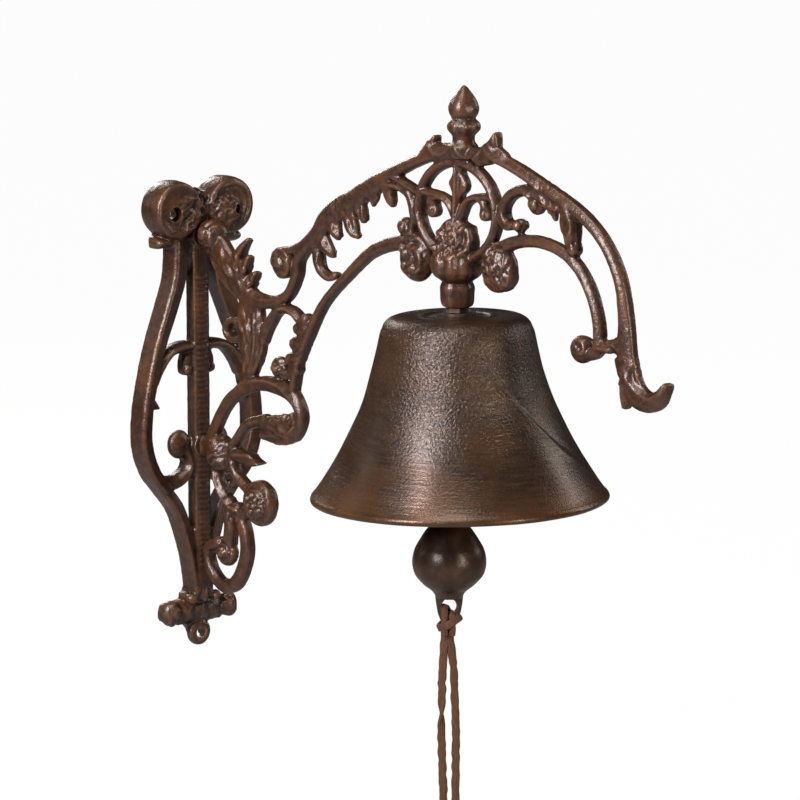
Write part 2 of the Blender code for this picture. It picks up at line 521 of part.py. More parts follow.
def make_knot(collection, leather, x):
    """The thong's loop round the lug, a closed ring that rises to one side."""
    half_width, half_depth, rise = KNOT_LOOP
    thick, tall = KNOT_SECTION
    count = 20
    bm = bmesh.new()
    rings = []
    for k in range(count):
        angle = math.tau * k / count
        centre = Vector((half_width * math.cos(angle), half_depth * math.sin(angle), rise * math.cos(angle)))
        out = Vector((math.cos(angle), math.sin(angle), 0))
        rings.append([bm.verts.new(centre + out * thick * math.cos(math.tau * n / 8)
                                   + Vector((0, 0, tall * math.sin(math.tau * n / 8)))) for n in range(8)])
    for one, two in zip(rings, rings[1:] + rings[:1]):
        for n in range(8):
            bm.faces.new((one[n], one[(n + 1) % 8], two[(n + 1) % 8], two[n]))
    bmesh.ops.scale(bm, vec=(MM, MM, MM), verts=bm.verts)
    bmesh.ops.transform(bm, matrix=lug_frame(x, KNOT_Z), verts=bm.verts)
    return finish_mesh(bm, "strap_knot", collection, leather)


def build():
    """Build every sub-part."""
    clear_scene()
    parts = new_collection("wall_mounted_bell")
    cutters = new_collection("cutters")
    iron = material("rusted_iron", (0.16, 0.085, 0.05), 0.55, 0.4)
    bell_iron = material("bell_iron", (0.13, 0.085, 0.055), 0.5, 0.5)
    dark_iron = material("clapper_iron", (0.07, 0.05, 0.035), 0.45, 0.5)
    steel = material("fastener_steel", (0.2, 0.15, 0.11), 0.5, 0.7)
    leather = material("thong_leather", (0.2, 0.11, 0.07), 0.8, 0.0)

    make_wall_plate(parts, cutters, iron)
    make_arm(parts, cutters, iron)
    make_arm_screw("arm_screw_upper", UPPER_SCREW_Z, parts, steel)
    make_arm_screw("arm_screw_lower", LOWER_SCREW_Z, parts, steel)
    under = CROWN_Z - WALL - GAP
    stack = [make_bell(parts, bell_iron), make_hook_bolt(parts, steel),
             make_washer("crown_washer", CROWN_Z + GAP, CROWN_Z + 1.6, parts, steel),
             make_nut("lock_nut", CROWN_Z + 1.9, BOSS_BOTTOM_Z - GAP, parts, cutters, steel),
             make_washer("inside_washer", under - 1.4, under, parts, steel),
             make_nut("inside_nut", under - 6.9, under - 1.7, parts, cutters, steel)]
    for obj in stack:
        lean(obj)
    hook = LEAN @ (Vector((BELL_X, HOOK_Y, HOOK_Z + HOOK_Y)) * MM) / MM
    link_z = hook.z + BOLT_RADIUS + GAP + LINK_WIRE - LINK_RADIUS
    eye_z = link_z - LINK_RADIUS + LINK_WIRE + GAP + EYE_WIRE - EYE_RADIUS
    make_link(parts, steel, hook.x, link_z)
    make_clapper(parts, cutters, dark_iron, hook.x, eye_z)
    make_knot(parts, leather, hook.x)
    make_tube("strap_leg_left", smooth_path(STRAP_LEFT, 3, 0, 0), STRAP_WIDTH / 2, parts, leather)
    make_tube("strap_leg_right", smooth_path(STRAP_RIGHT, 3, 0, 0), STRAP_WIDTH / 2, parts, leather)


build()
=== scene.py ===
"""Looks of the wall mounted bell: detailed castings, bell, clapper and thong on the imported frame.

Frame: X = 0 is the wall, +X points into the room along the arm, Y runs along the wall, +Z is up.
Drawing points are in millimetres and in rest position.
"""
import math

import bpy
import numpy as np
from mathutils import Matrix, Vector, noise


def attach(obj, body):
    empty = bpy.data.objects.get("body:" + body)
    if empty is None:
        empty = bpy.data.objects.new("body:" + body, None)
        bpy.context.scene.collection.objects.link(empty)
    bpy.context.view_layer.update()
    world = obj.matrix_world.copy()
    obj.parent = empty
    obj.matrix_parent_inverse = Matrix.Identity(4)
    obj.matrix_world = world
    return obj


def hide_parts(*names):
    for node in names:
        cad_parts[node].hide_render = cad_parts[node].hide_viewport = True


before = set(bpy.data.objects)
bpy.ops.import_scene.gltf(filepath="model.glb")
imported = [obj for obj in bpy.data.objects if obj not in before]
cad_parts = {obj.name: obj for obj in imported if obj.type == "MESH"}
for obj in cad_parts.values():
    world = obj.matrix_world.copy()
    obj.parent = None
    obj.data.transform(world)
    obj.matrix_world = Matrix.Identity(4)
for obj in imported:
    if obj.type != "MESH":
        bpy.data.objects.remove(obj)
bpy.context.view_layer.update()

MM = 0.001

# Planes that strokes are drawn in: the arm's (x, z) with depth towards -Y, the plate's (y, z) with depth +X
ARM_PLANE = np.array(((1, 0, 0), (0, 0, -1), (0, 1, 0)), float)
PLATE_PLANE = np.array(((0, 0, 1), (1, 0, 0), (0, 1, 0)), float)

BELL_X = 242.5
CROWN_Z = 212.8
LEAN_DEGREES = -1.3
LEAN_PIVOT = Vector((BELL_X, 0, CROWN_Z)) * MM
LEAN = (Matrix.Translation(LEAN_PIVOT) @ Matrix.Rotation(math.radians(LEAN_DEGREES), 4, "Y")
        @ Matrix.Translation(-LEAN_PIVOT))

# The clapper's upright line and the middle of its eye, then the level ways across and through its lug
CLAPPER_X = 243.16
HOOK_Y = -6.3
EYE_Z = 171.2
LUG_TURN = math.radians(48)
ACROSS = np.array((math.cos(LUG_TURN), math.sin(LUG_TURN), 0))
THROUGH = np.array((-math.sin(LUG_TURN), math.cos(LUG_TURN), 0))

# Voxel size of the two big castings, and the triangles that each may keep
CASTING_VOXEL = 0.72
ARM_TRIANGLES = 188000
PLATE_TRIANGLES = 150000


# ---------------------------------------------------------------- camera

def make_camera():
    """The camera, level and at the fitted angle, with its right, its way ahead and what it looks at."""
    turn, rise = math.radians(48.309), math.radians(9.996)
    distance = 2.1767
    target = Vector((0.193955, 0, 0.1579085))
    ahead = Vector((-math.sin(turn) * math.cos(rise), math.cos(turn) * math.cos(rise), -math.sin(rise)))
    right = Vector((math.cos(turn), math.sin(turn), 0))
    data = bpy.data.cameras.new("camera")
    data.lens = 170.184
    data.sensor_width = 36
    data.clip_end = 100
    camera = bpy.data.objects.new("camera", data)
    bpy.context.scene.collection.objects.link(camera)
    place = Matrix((right, right.cross(ahead), -ahead)).transposed().to_4x4()
    place.translation = target - ahead * distance
    camera.matrix_world = place
    bpy.context.scene.camera = camera
    return right, ahead, target


# ---------------------------------------------------------------- mesh tools

def circle(count, start=0.0):
    """Evenly spread angles of a full turn."""
    return [math.tau * k / count + start for k in range(count)]


def blunt(value, power):
    """A power that keeps the sign: under 1 it squares off a round section."""
    return math.copysign(abs(value) ** power, value)


def dense(points, step=1.3):
    """Catmull-Rom rows through the points, about `step` apart."""
    rows = np.array(points, float)
    rows = np.vstack([2 * rows[0] - rows[1], rows, 2 * rows[-1] - rows[-2]])
    out = []
    for a, b, c, d in zip(rows, rows[1:], rows[2:], rows[3:]):
        count = max(2, int(np.linalg.norm((c - b)[:3]) / step))
        t = np.arange(count)[:, None] / count
        out.append(0.5 * (2 * b + (c - a) * t + (2 * a - 5 * b + 4 * c - d) * t ** 2
                          + (3 * b - a - 3 * c + d) * t ** 3))
    out.append(rows[-2][None])
    return np.vstack(out)


def crown(peak=0.0, edge=0.3, plus=2.2, minus=2.2, count=11):
    """(side, height) points of a rounded face: where its peak is, its edge height, how each flank curves."""
    out = []
    for k in range(count):
        side = math.sin(math.pi * (k / (count - 1) - 0.5))
        run = (side - peak) / (1 - peak) if side > peak else (peak - side) / (1 + peak)
        out.append((side, edge + (1 - edge) * (1 - run ** (plus if side > peak else minus))))
    return out


def both_faces(face):
    """A closed section with the same relief on its front and back."""
    return face + [(s, -h) for s, h in reversed(face)]


def flat_back(face):
    """A closed section with a flat back."""
    return face + [(1, 0), (-1, 0)]


# The plain oblong section of the cutting blocks
SLAB = [(1, 0), (1, 1), (-1, 1), (-1, 0)]


class Soup:
    """Loose closed shells that one voxel remesh turns into a single casting."""

    def __init__(self):
        self.points = []
        self.faces = []
        self.count = 0

    def add(self, points, faces):
        """Add one shell."""
        self.points.append(np.array(points, float))
        self.faces += [tuple(i + self.count for i in face) for face in faces]
        self.count += len(points)

    def rings(self, rings, closed=False):
        """Join rings of equal length to a closed shell."""
        size, total = len(rings[0]), len(rings)
        faces = []
        for i in range(total if closed else total - 1):
            j = (i + 1) % total
            for k in range(size):
                nxt = (k + 1) % size
                faces.append((i * size + k, i * size + nxt, j * size + nxt, j * size + k))
        if not closed:
            faces.append(tuple(reversed(range(size))))
            faces.append(tuple(range((total - 1) * size, total * size)))
        self.add(np.vstack(rings), faces)

    def stroke(self, points, section, base, reach, plane, closed=False, mirror=False):
        """A bar along (u, v, width[, depth share]) points of a plane, with rounded ends."""
        rows = dense([(*p, 1)[:4] for p in points])
        if closed:
            rows = rows[:-1]
            along = np.roll(rows, -1, 0)[:, :2] - np.roll(rows, 1, 0)[:, :2]
        else:
            along = np.gradient(rows[:, :2], axis=0)
        along /= np.linalg.norm(along, axis=1)[:, None]
        if not closed:
            rows, along = round_ends(rows, along)
        side = np.stack([-along[:, 1], along[:, 0]], 1) * rows[:, 2:3] / 2
        middle = base if min(h for _, h in section) < 0 else base + reach * 0.45
        low = base - middle
        rings = []
        for (u, v, _, share), (du, dv) in zip(rows, side):
            rings.append([plane @ (u + du * s, v + dv * s, middle + (low + reach * h) * share)
                          for s, h in section])
        rings = np.array(rings)
        if mirror:
            rings[:, :, 1] *= -1
            rings = rings[:, ::-1]
        self.rings(rings, closed)

    def ball(self, centre, radii, segments=16, rows=10):
        """A ball stretched to three radii."""
        points = [(0, 0, 1)]
        for i in range(1, rows):
            a = math.pi * i / rows
            points += [(math.sin(a) * math.cos(b), math.sin(a) * math.sin(b), math.cos(a))
                       for b in circle(segments)]
        points.append((0, 0, -1))
        faces = []
        last = 1 + (rows - 2) * segments
        for k in range(segments):
            nxt = (k + 1) % segments
            faces.append((0, 1 + k, 1 + nxt))
            faces.append((last + nxt, last + k, len(points) - 1))
            for a in range(1, last, segments):
                faces.append((a + k, a + segments + k, a + segments + nxt, a + nxt))
        self.add(np.array(points) * np.array(radii) + np.array(centre), faces)

    def turned(self, profile, centre, steps, shape=None, axis="Z", closed=False):
        """Turn (radius, height) points round an axis, with shape(angle, height) scaling the radius."""
        rings = []
        for radius, height in profile:
            ring = []
            for angle in circle(steps):
                here = max(radius, 0.05) * (shape(angle, height) if shape else 1)
                ring.append((here * math.cos(angle), here * math.sin(angle), height))
            ring = np.array(ring)
            rings.append((ring[:, [2, 0, 1]] if axis == "X" else ring) + np.array(centre))
        self.rings(rings, closed)

    def mesh(self, name):
        """The shells as one mesh, in metres."""
        mesh = bpy.data.meshes.new(name)
        mesh.from_pydata((np.vstack(self.points) * MM).tolist(), [], self.faces)
        mesh.update()
        return mesh


def round_ends(rows, along):
    """Add half-round ends to an open stroke."""
    parts = [(rows, along)]
    for end, sign in ((0, -1), (-1, 1)):
        row, way = rows[end], along[end]
        extra = []
        for a in np.radians((30, 52, 70, 84)):
            new = row.copy()
            new[:2] += way * sign * row[2] * 0.42 * math.sin(a)
            new[2] *= math.cos(a)
            new[3] *= math.cos(a) ** 0.45
            extra.append(new)
        block = (np.array(extra)[::sign], np.repeat(way[None], len(extra), 0))
        parts.insert(0 if end == 0 else len(parts), block)
    return np.vstack([part[0] for part in parts]), np.vstack([part[1] for part in parts])


def link(name, mesh):
    """Put a mesh in the scene as an object."""
    obj = bpy.data.objects.new(name, mesh)
    bpy.context.scene.collection.objects.link(obj)
    return obj


def modified(obj, kind, **settings):
    """Replace an object's mesh by what one modifier makes of it."""
    modifier = obj.modifiers.new(kind, kind)
    for key, value in settings.items():
        setattr(modifier, key, value)
    graph = bpy.context.evaluated_depsgraph_get()
    mesh = bpy.data.meshes.new_from_object(obj.evaluated_get(graph))
    obj.modifiers.clear()
    old = obj.data
    obj.data = mesh
    bpy.data.meshes.remove(old)


def fused(name, soup, voxel, rounds):
    """A soup's overlapping shells as one evened-out object."""
    obj = link(name, soup.mesh(name))
    modified(obj, "REMESH", mode="VOXEL", voxel_size=voxel * MM)
    relax(obj.data, rounds)
    return obj


def cut(obj, soup):
    """Take a soup of separate shells away from an object."""
    tool = link("cutting_tool", soup.mesh("cutting_tool"))
    modified(obj, "BOOLEAN", operation="DIFFERENCE", solver="MANIFOLD", object=tool)
    bpy.data.objects.remove(tool, do_unlink=True)


def thinned(obj, most):
    """Bring an object down to about `most` triangles."""
    triangles = sum(len(p.vertices) - 2 for p in obj.data.polygons)
    if triangles > most:
        modified(obj, "DECIMATE", ratio=most / triangles)


def painted(obj, surface, angle=None):
    """Give an object its material and smooth shading, sharp where faces meet at more than `angle` degrees."""
    obj.data.materials.clear()
    obj.data.materials.append(surface)
    obj.data.shade_smooth()
    if angle:
        obj.data.set_sharp_from_angle(angle=math.radians(angle))


def get_points(mesh):
    """A mesh's points in millimetres."""
    co = np.empty(len(mesh.vertices) * 3, np.float32)
    mesh.vertices.foreach_get("co", co)
    return co.reshape(-1, 3).astype(float) / MM


def set_points(mesh, co):
    """Put a mesh's points back."""
    mesh.vertices.foreach_set("co", (co * MM).astype(np.float32).ravel())
    mesh.update()


def get_normals(mesh):
    """A mesh's point normals."""
    out = np.empty(len(mesh.vertices) * 3, np.float32)
    mesh.vertex_normals.foreach_get("vector", out)
    return out.reshape(-1, 3).astype(float)


def relax(mesh, rounds, share=0.5):
    """Even out a mesh: each point moves towards the middle of its neighbours."""
    ends = np.empty(len(mesh.edges) * 2, np.int32)
    mesh.edges.foreach_get("vertices", ends)
    ends = ends.reshape(-1, 2)
    one = np.concatenate([ends[:, 0], ends[:, 1]])
    two = np.concatenate([ends[:, 1], ends[:, 0]])
    co = get_points(mesh)
    near = np.maximum(np.bincount(one, minlength=len(co)), 1)[:, None]
    for _ in range(rounds):
        total = np.stack([np.bincount(one, co[two, k], len(co)) for k in range(3)], 1)
        co += share * (total / near - co)
    set_points(mesh, co)


def line_distance(flat, points):
    """Each flat point's distance from a smooth line, and how far along it the nearest place is, 0 to 1."""
    path = dense(points, 1.0)
    best = np.full(len(flat), 1e9)
    where = np.zeros(len(flat))
    for i, (a, b) in enumerate(zip(path, path[1:])):
        way = b - a
        t = np.clip(((flat - a) @ way) / (way @ way), 0, 1)
        gap = np.linalg.norm(flat - a - t[:, None] * way, axis=1)
        closer = gap < best
        best[closer] = gap[closer]
        where[closer] = (i + t[closer]) / (len(path) - 1)
    return best, where


def facing(mesh, face, least, span):
    """A mesh's points, its normals, and how fully each one looks along `face`, either way for the arm's Y."""
    co, normal = get_points(mesh), get_normals(mesh)
    towards = normal @ np.array(face, float)
    if face[1]:
        towards = np.abs(towards)
    return co, normal, np.clip((towards - least) / span, 0, 1)


def sculpt(mesh, axes, face, groups, beads):
    """Raise or sink a casting along groups of lines and at beads, on the faces that look along `face`."""
    co, normal, weight = facing(mesh, face, 0.2, 0.35)
    flat = co[:, axes]
    push = np.zeros(len(co))
    for height, half, points in ((height, half, line) for height, half, lines in groups for line in lines):
        points = np.array(points, float)
        low, high = points.min(0) - 3 * half, points.max(0) + 3 * half
        near = np.where(((flat > low) & (flat < high)).all(1))[0]
        if len(near):
            gap, along = line_distance(flat[near], points)
            fade = np.clip(np.minimum(along, 1 - along) * 6 + 0.25, 0, 1)
            push[near] += height * fade * np.exp(-(gap / half) ** 2)
    for u, v, radius, height in beads:
        gap = np.hypot(flat[:, 0] - u, flat[:, 1] - v) / radius
        near = gap < 1.45
        rise = np.where(gap[near] < 1, np.sqrt(np.maximum(1 - gap[near] ** 2, 0)) * 1.25, 0)
        push[near] += height * (rise - 0.3 * np.exp(-((gap[near] - 1.1) / 0.22) ** 2))
    set_points(mesh, co + normal * (push * weight)[:, None])


def veined(mesh, axes, face, patches):
    """Crumple patches of a casting into veins: (u, v, radius, height, size, degrees, stretch)."""
    co, normal, weight = facing(mesh, face, -0.1, 0.4)
    flat = co[:, axes]
    push = np.zeros(len(co))
    for u, v, radius, height, size, degrees, stretch in patches:
        gap = np.hypot(flat[:, 0] - u, flat[:, 1] - v) / radius
        cosine, sine = math.cos(math.radians(degrees)), math.sin(math.radians(degrees))
        for i in np.where((gap < 1) & (weight > 0))[0]:
            du, dv = flat[i, 0] - u, flat[i, 1] - v
            place = ((du * cosine + dv * sine) / (size * stretch), (dv * cosine - du * sine) / size,
                     0.3 * co[i] @ np.array(face) / size + u)
            push[i] += height * (0.55 - 2.4 * abs(noise.noise(Vector(place)))) * min(1, 3 * (1 - gap[i]))
    set_points(mesh, co + normal * (push * weight)[:, None])


def waver(mesh, amount, scale):
    """The small unevenness of a sand casting."""
    co = get_points(mesh)
    normal = get_normals(mesh)
    rise = np.array([noise.noise(Vector(p) / scale) + 0.5 * noise.noise(Vector(p) / (scale * 0.4))
                     for p in co])
    set_points(mesh, co + normal * (rise * amount)[:, None])


# ---------------------------------------------------------------- materials

def add_node(tree, kind, output, inputs, **settings):
    """A new node's output, with the node's settings and its inputs: numbers, colours or other outputs."""
    node = tree.nodes.new("ShaderNode" + kind)
    for key, value in settings.items():
        setattr(node, key, value)
    for key, value in inputs.items():
        if isinstance(value, bpy.types.NodeSocket):
            tree.links.new(value, node.inputs[key])
        elif value is not None:
            node.inputs[key].default_value = value
    return node.outputs[output]


class Paint:
    """A material in the making, its coordinates in millimetres."""

    def __init__(self, name):
        self.material = bpy.data.materials.new(name)
        self.material.use_nodes = True
        self.tree = self.material.node_tree
        self.place = self.node("TexCoord", "Object")
        self.vector = self.stretched(1, 1, 1)

    def node(self, kind, output, inputs=None, **settings):
        """A node of this material."""
        return add_node(self.tree, kind, output, inputs or {}, **settings)

    def stretched(self, *scale):
        """Stretched coordinates."""
        return self.node("Mapping", "Vector", {"Vector": self.place, "Scale": [s / MM for s in scale]})

    def noise(self, scale, detail, rough, distortion=0.0, vector=None):
        """A noise texture's value."""
        return self.node("TexNoise", "Fac", {"Vector": vector or self.vector, "Scale": scale,
                                             "Detail": detail, "Roughness": rough, "Distortion": distortion})

    def cells(self, scale):
        """The distance from a scatter of points."""
        return self.node("TexVoronoi", "Distance", {"Vector": self.vector, "Scale": scale})

    def ramp(self, value, *stops):
        """A colour ramp of (place, colour) stops."""
        color = self.node("ValToRGB", "Color", {"Fac": value})
        elements = color.node.color_ramp.elements
        elements.remove(elements[-1])
        for i, (place, shade) in enumerate(stops):
            element = elements[0] if i == 0 else elements.new(place)
            element.position = place
            element.color = (*shade, 1)
        return color

    def mix(self, share, one, two):
        """A colour output mixed with a fixed colour; 6, 7 and 2 are the node's colour sockets."""
        return self.node("Mix", 2, {0: share, 6: one, 7: (*two, 1)}, data_type="RGBA")

    def times(self, one, two):
        """Two values multiplied."""
        return self.node("Math", "Value", {0: one, 1: two}, operation="MULTIPLY")

    def span(self, value, low, high, to_low, to_high):
        """A value's range mapped to another, clamped."""
        return self.node("MapRange", "Result", {"Value": value, "From Min": low, "From Max": high,
                                                "To Min": to_low, "To Max": to_high})

    def pointed(self, low, high, to_low, to_high):
        """How convex the surface is, mapped: it is near 0.5 where it is flat."""
        return self.span(self.node("NewGeometry", "Pointiness"), low, high, to_low, to_high)

    def bump(self, height, distance, strength, after=None):
        """A bump of a height in millimetres, on top of another."""
        return self.node("Bump", "Normal", {"Strength": strength, "Distance": distance * MM, "Height": height,
                                            "Normal": after})

    def finished(self, color, rough, normal, **constants):
        """The material, with its shader wired up and its constants set on the shader's own sockets."""
        shader = self.tree.nodes["Principled BSDF"]
        for name, value in (("Base Color", color), ("Roughness", rough), ("Normal", normal)):
            self.tree.links.new(value, shader.inputs[name])
        for name, value in constants.items():
            shader.inputs[name.replace("_", " ")].default_value = value
        return self.material


def cast_iron():
    """Rust-brown cast iron under an old dark lacquer, painted grey-pink on its ridges as wear and as painted
    highlight, and darker in its hollows as painted shade.
    """
    paint = Paint("patina_iron")
    fine = paint.noise(1.1, 5, 0.65)
    base = paint.ramp(paint.noise(0.22, 4, 0.6), (0.3, (0.018, 0.0068, 0.003)), (0.5, (0.036, 0.0135, 0.005)),
                      (0.7, (0.066, 0.025, 0.009)))
    warm = paint.mix(paint.span(paint.noise(0.045, 3, 0.6), 0.5, 0.72, 0, 0.7), base, (0.1, 0.035, 0.0095))
    # Ridges painted grey-pink: partly wear, partly a painted highlight
    wear_and_highlight_mask = paint.times(paint.pointed(0.505, 0.56, 0, 0.8), paint.span(fine, 0.35, 0.62, 0.35, 1))
    wear_and_highlight_color = paint.mix(wear_and_highlight_mask, warm, (0.2, 0.105, 0.062))
    # Hollows darkened towards near-black: painted shade
    color = paint.mix(paint.pointed(0.43, 0.492, 0.75, 0), wear_and_highlight_color, (0.014, 0.0065, 0.004))
    skin = paint.bump(paint.noise(0.42, 2, 0.6), 0.55, 0.6)
    return paint.finished(color, paint.span(fine, 0.3, 0.7, 0.29, 0.42),
                          paint.bump(paint.cells(0.8), 0.12, 0.3, skin), Metallic=0.15,
                          Specular_IOR_Level=0.65)


def bell_metal():
    """The bell: brown-grey cast metal, pitted high up, streaked round its waist, rusty above its lip, its lip
    and edges painted lighter as wear and as painted highlight.
    """
    paint = Paint("bell_metal")
    streaks = paint.noise(0.5, 3, 0.6, vector=paint.stretched(0.12, 0.12, 1.4))
    patch = paint.noise(0.035, 4, 0.6, 0.6)
    fine = paint.noise(0.9, 5, 0.65)
    height = paint.node("SeparateXYZ", "Z", {"Vector": paint.place})
    base = paint.ramp(streaks, (0.3, (0.017, 0.0085, 0.0045)), (0.52, (0.03, 0.0155, 0.008)),
                      (0.72, (0.052, 0.028, 0.0135)))
    rusty = paint.mix(paint.span(patch, 0.46, 0.66, 0, 0.7), base, (0.058, 0.025, 0.007))
    band = paint.times(paint.span(height, 0.112, 0.128, 0.75, 0), paint.span(patch, 0.35, 0.6, 0.35, 1))
    lower = paint.mix(band, rusty, (0.086, 0.036, 0.011))
    # Convex edges such as the lip painted light grey-brown: partly wear, partly a painted highlight
    wear_and_highlight_mask = paint.times(paint.pointed(0.51, 0.58, 0, 0.8), paint.span(fine, 0.35, 0.6, 0.3, 1))
    wear_and_highlight_color = paint.mix(wear_and_highlight_mask, lower, (0.27, 0.19, 0.15))
    pits = paint.times(paint.span(paint.cells(0.55), 0.1, 0.26, 1, 0),
                       paint.span(height, 0.146, 0.175, 0.1, 0.95))
    pits = paint.times(pits, paint.span(fine, 0.42, 0.6, 0, 1))
    skin = paint.times(paint.noise(0.66, 2, 0.65, 0.3), paint.span(height, 0.138, 0.172, 0.26, 1))
    normal = paint.bump(pits, -0.5, 0.7, paint.bump(skin, 0.95, 0.65, paint.bump(streaks, 0.5, 0.4)))
    return paint.finished(paint.mix(pits, wear_and_highlight_color, (0.022, 0.013, 0.01)), paint.span(fine, 0.3, 0.7, 0.25, 0.36),
                          normal, Metallic=0.35, Specular_IOR_Level=0.6)


def dark_iron():
    """The clapper: smooth blackened iron with a brown sheen."""
    paint = Paint("clapper_metal")
    base = paint.ramp(paint.noise(0.07, 4, 0.6, 0.4), (0.35, (0.024, 0.0125, 0.0085)),
                      (0.52, (0.048, 0.0255, 0.014)), (0.7, (0.086, 0.043, 0.02)))
    color = paint.mix(paint.pointed(0.51, 0.57, 0, 0.5), base, (0.11, 0.075, 0.06))
    skin = paint.bump(paint.noise(0.35, 4, 0.55), 0.3, 0.3)
    return paint.finished(color, paint.span(paint.noise(0.8, 5, 0.6), 0.3, 0.7, 0.3, 0.4),
                          paint.bump(paint.cells(0.8), 0.1, 0.3, skin), Metallic=0.4)


def fixing_steel():
    """Oxidised brown steel of the screws, bolt, nuts and washers."""
    paint = Paint("oxidised_steel")
    fine = paint.noise(1.8, 4, 0.6)
    base = paint.ramp(paint.noise(0.4, 4, 0.6), (0.35, (0.012, 0.0065, 0.004)), (0.55, (0.022, 0.013, 0.009)),
                      (0.72, (0.036, 0.017, 0.008)))
    color = paint.mix(paint.pointed(0.52, 0.6, 0, 0.5), base, (0.14, 0.1, 0.075))
    return paint.finished(color, paint.span(fine, 0.3, 0.7, 0.35, 0.6), paint.bump(fine, 0.15, 0.5),
                          Metallic=0.7)


def thong_leather():
    """Brown undyed leather thong with fibres along it, darker at its cut edges."""
    paint = Paint("thong_leather")
    fibre = paint.noise(1.6, 5, 0.7, vector=paint.stretched(1, 1, 0.16))
    base = paint.ramp(fibre, (0.3, (0.036, 0.0145, 0.0062)), (0.5, (0.074, 0.0315, 0.0135)),
                      (0.7, (0.13, 0.06, 0.029)))
    tinted = paint.mix(paint.span(paint.noise(0.09, 4, 0.6), 0.4, 0.65, 0, 0.6), base, (0.09, 0.034, 0.0115))
    color = paint.mix(paint.pointed(0.54, 0.62, 0, 0.6), tinted, (0.06, 0.027, 0.016))
    normal = paint.bump(paint.cells(1.5), 0.15, 0.4, paint.bump(fibre, 0.35, 0.7))
    return paint.finished(color, paint.span(fibre, 0.3, 0.7, 0.62, 0.85), normal, Specular_IOR_Level=0.35,
                          Sheen_Weight=0.04, Sheen_Roughness=0.5)


# ---------------------------------------------------------------- the thong

STRAP_LEFT = [(242.1, -8.6, 34.5), (241.7, -8.4, 27), (240.9, -8.9, 12), (240.4, -9.1, 3), (240.2, -9.3, -31),
              (241.0, -8.5, -66), (240.8, -8.4, -100), (240.2, -8.7, -135), (240.6, -8.3, -170)]
STRAP_RIGHT = [(243.7, -7.0, 34.5), (243.8, -6.2, 27), (244.5, -4.8, 16), (245.0, -4.0, 3),
               (245.7, -3.2, -31), (245.6, -3.3, -66), (244.9, -3.6, -100), (245.3, -3.4, -135),
               (244.9, -3.6, -164)]

# How each leg turns about its path, in degrees: the left one flips over once, a little below the knot
LEFT_TURNS = (24, 16, 10, 6, 4, 8, 14, 90, 166, 176, 180, 184, 186, 180, 174, 176, 184, 190, 186, 180, 176,
              180, 186, 184, 178, 176, 180, 186, 180)
RIGHT_TURNS = (-22, -8, 4, -6, 5, 14, 6)


def ribbon(name, path, width, thick, turns, surface, seed, across=ACROSS, ragged=0.25):
    """A flat leather strip along a path of points, its width turned by `turns` degrees about the path."""
    rows = dense(path, 1.4)
    along = np.gradient(rows, axis=0)
    along /= np.linalg.norm(along, axis=1)[:, None]
    angles = np.radians(np.interp(np.linspace(0, 1, len(rows)), np.linspace(0, 1, len(turns)), turns))
    section = [(blunt(math.cos(a), 0.45), blunt(math.sin(a), 0.7)) for a in circle(16)]
    rings = []
    side = np.array(across, float)
    for i, (place, way, a) in enumerate(zip(rows, along, angles)):
        side = side - way * (side @ way)
        side /= np.linalg.norm(side)
        out = np.cross(way, side)
        wide = side * math.cos(a) + out * math.sin(a)
        deep = out * math.cos(a) - side * math.sin(a)
        ring = []
        for k, (s, d) in enumerate(section):
            rag = 1 + ragged * noise.noise(Vector((i * 0.32, seed * 7.1, 3.0 if s > 0 else 9.0))) * abs(s)
            swell = 1 + 0.22 * noise.noise(Vector((i * 0.11, seed * 3.3, k * 0.4)))
            ring.append(place + wide * (s * width / 2 * rag) + deep * (d * thick / 2 * swell))
        rings.append(ring)
    soup = Soup()
    soup.rings(rings)
    strip = link(name, soup.mesh(name))
    painted(strip, surface, 60)
    return strip, rows * MM


def make_legs(leather):
    """The thong's two hanging legs."""
    for name, path, turns, seed in (("strap_leg_left", STRAP_LEFT, LEFT_TURNS, 1),
                                    ("strap_leg_right", STRAP_RIGHT, RIGHT_TURNS, 2)):
        leg, line = ribbon(name + "_thong", path, 4.7, 2.3, turns, leather, seed, ragged=0.28)
        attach(leg, "clapper")
        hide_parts(name)


# ---------------------------------------------------------------- the arm

ROUND = both_faces(crown(0, 0.48, 2.8, 2.8))
ROOF = both_faces(crown(0, 0.5, 1.3, 1.3))
OUTER_RIDGE = both_faces(crown(-0.38, 0.52, 2.2, 1.2))
LOWER_RIDGE = both_faces(crown(-0.5, 0.52, 1.8, 1.3))
UPPER_RIDGE = both_faces(crown(0.4, 0.52, 1.3, 2.1))
LEAF = both_faces(crown(-0.5, 0.45, 0.95, 2.0))

# Half the arm's depth, and how much shallower each of five strokes is than the one before it
ARM_DEPTH = 4.6
ARM_STEP = 0.05

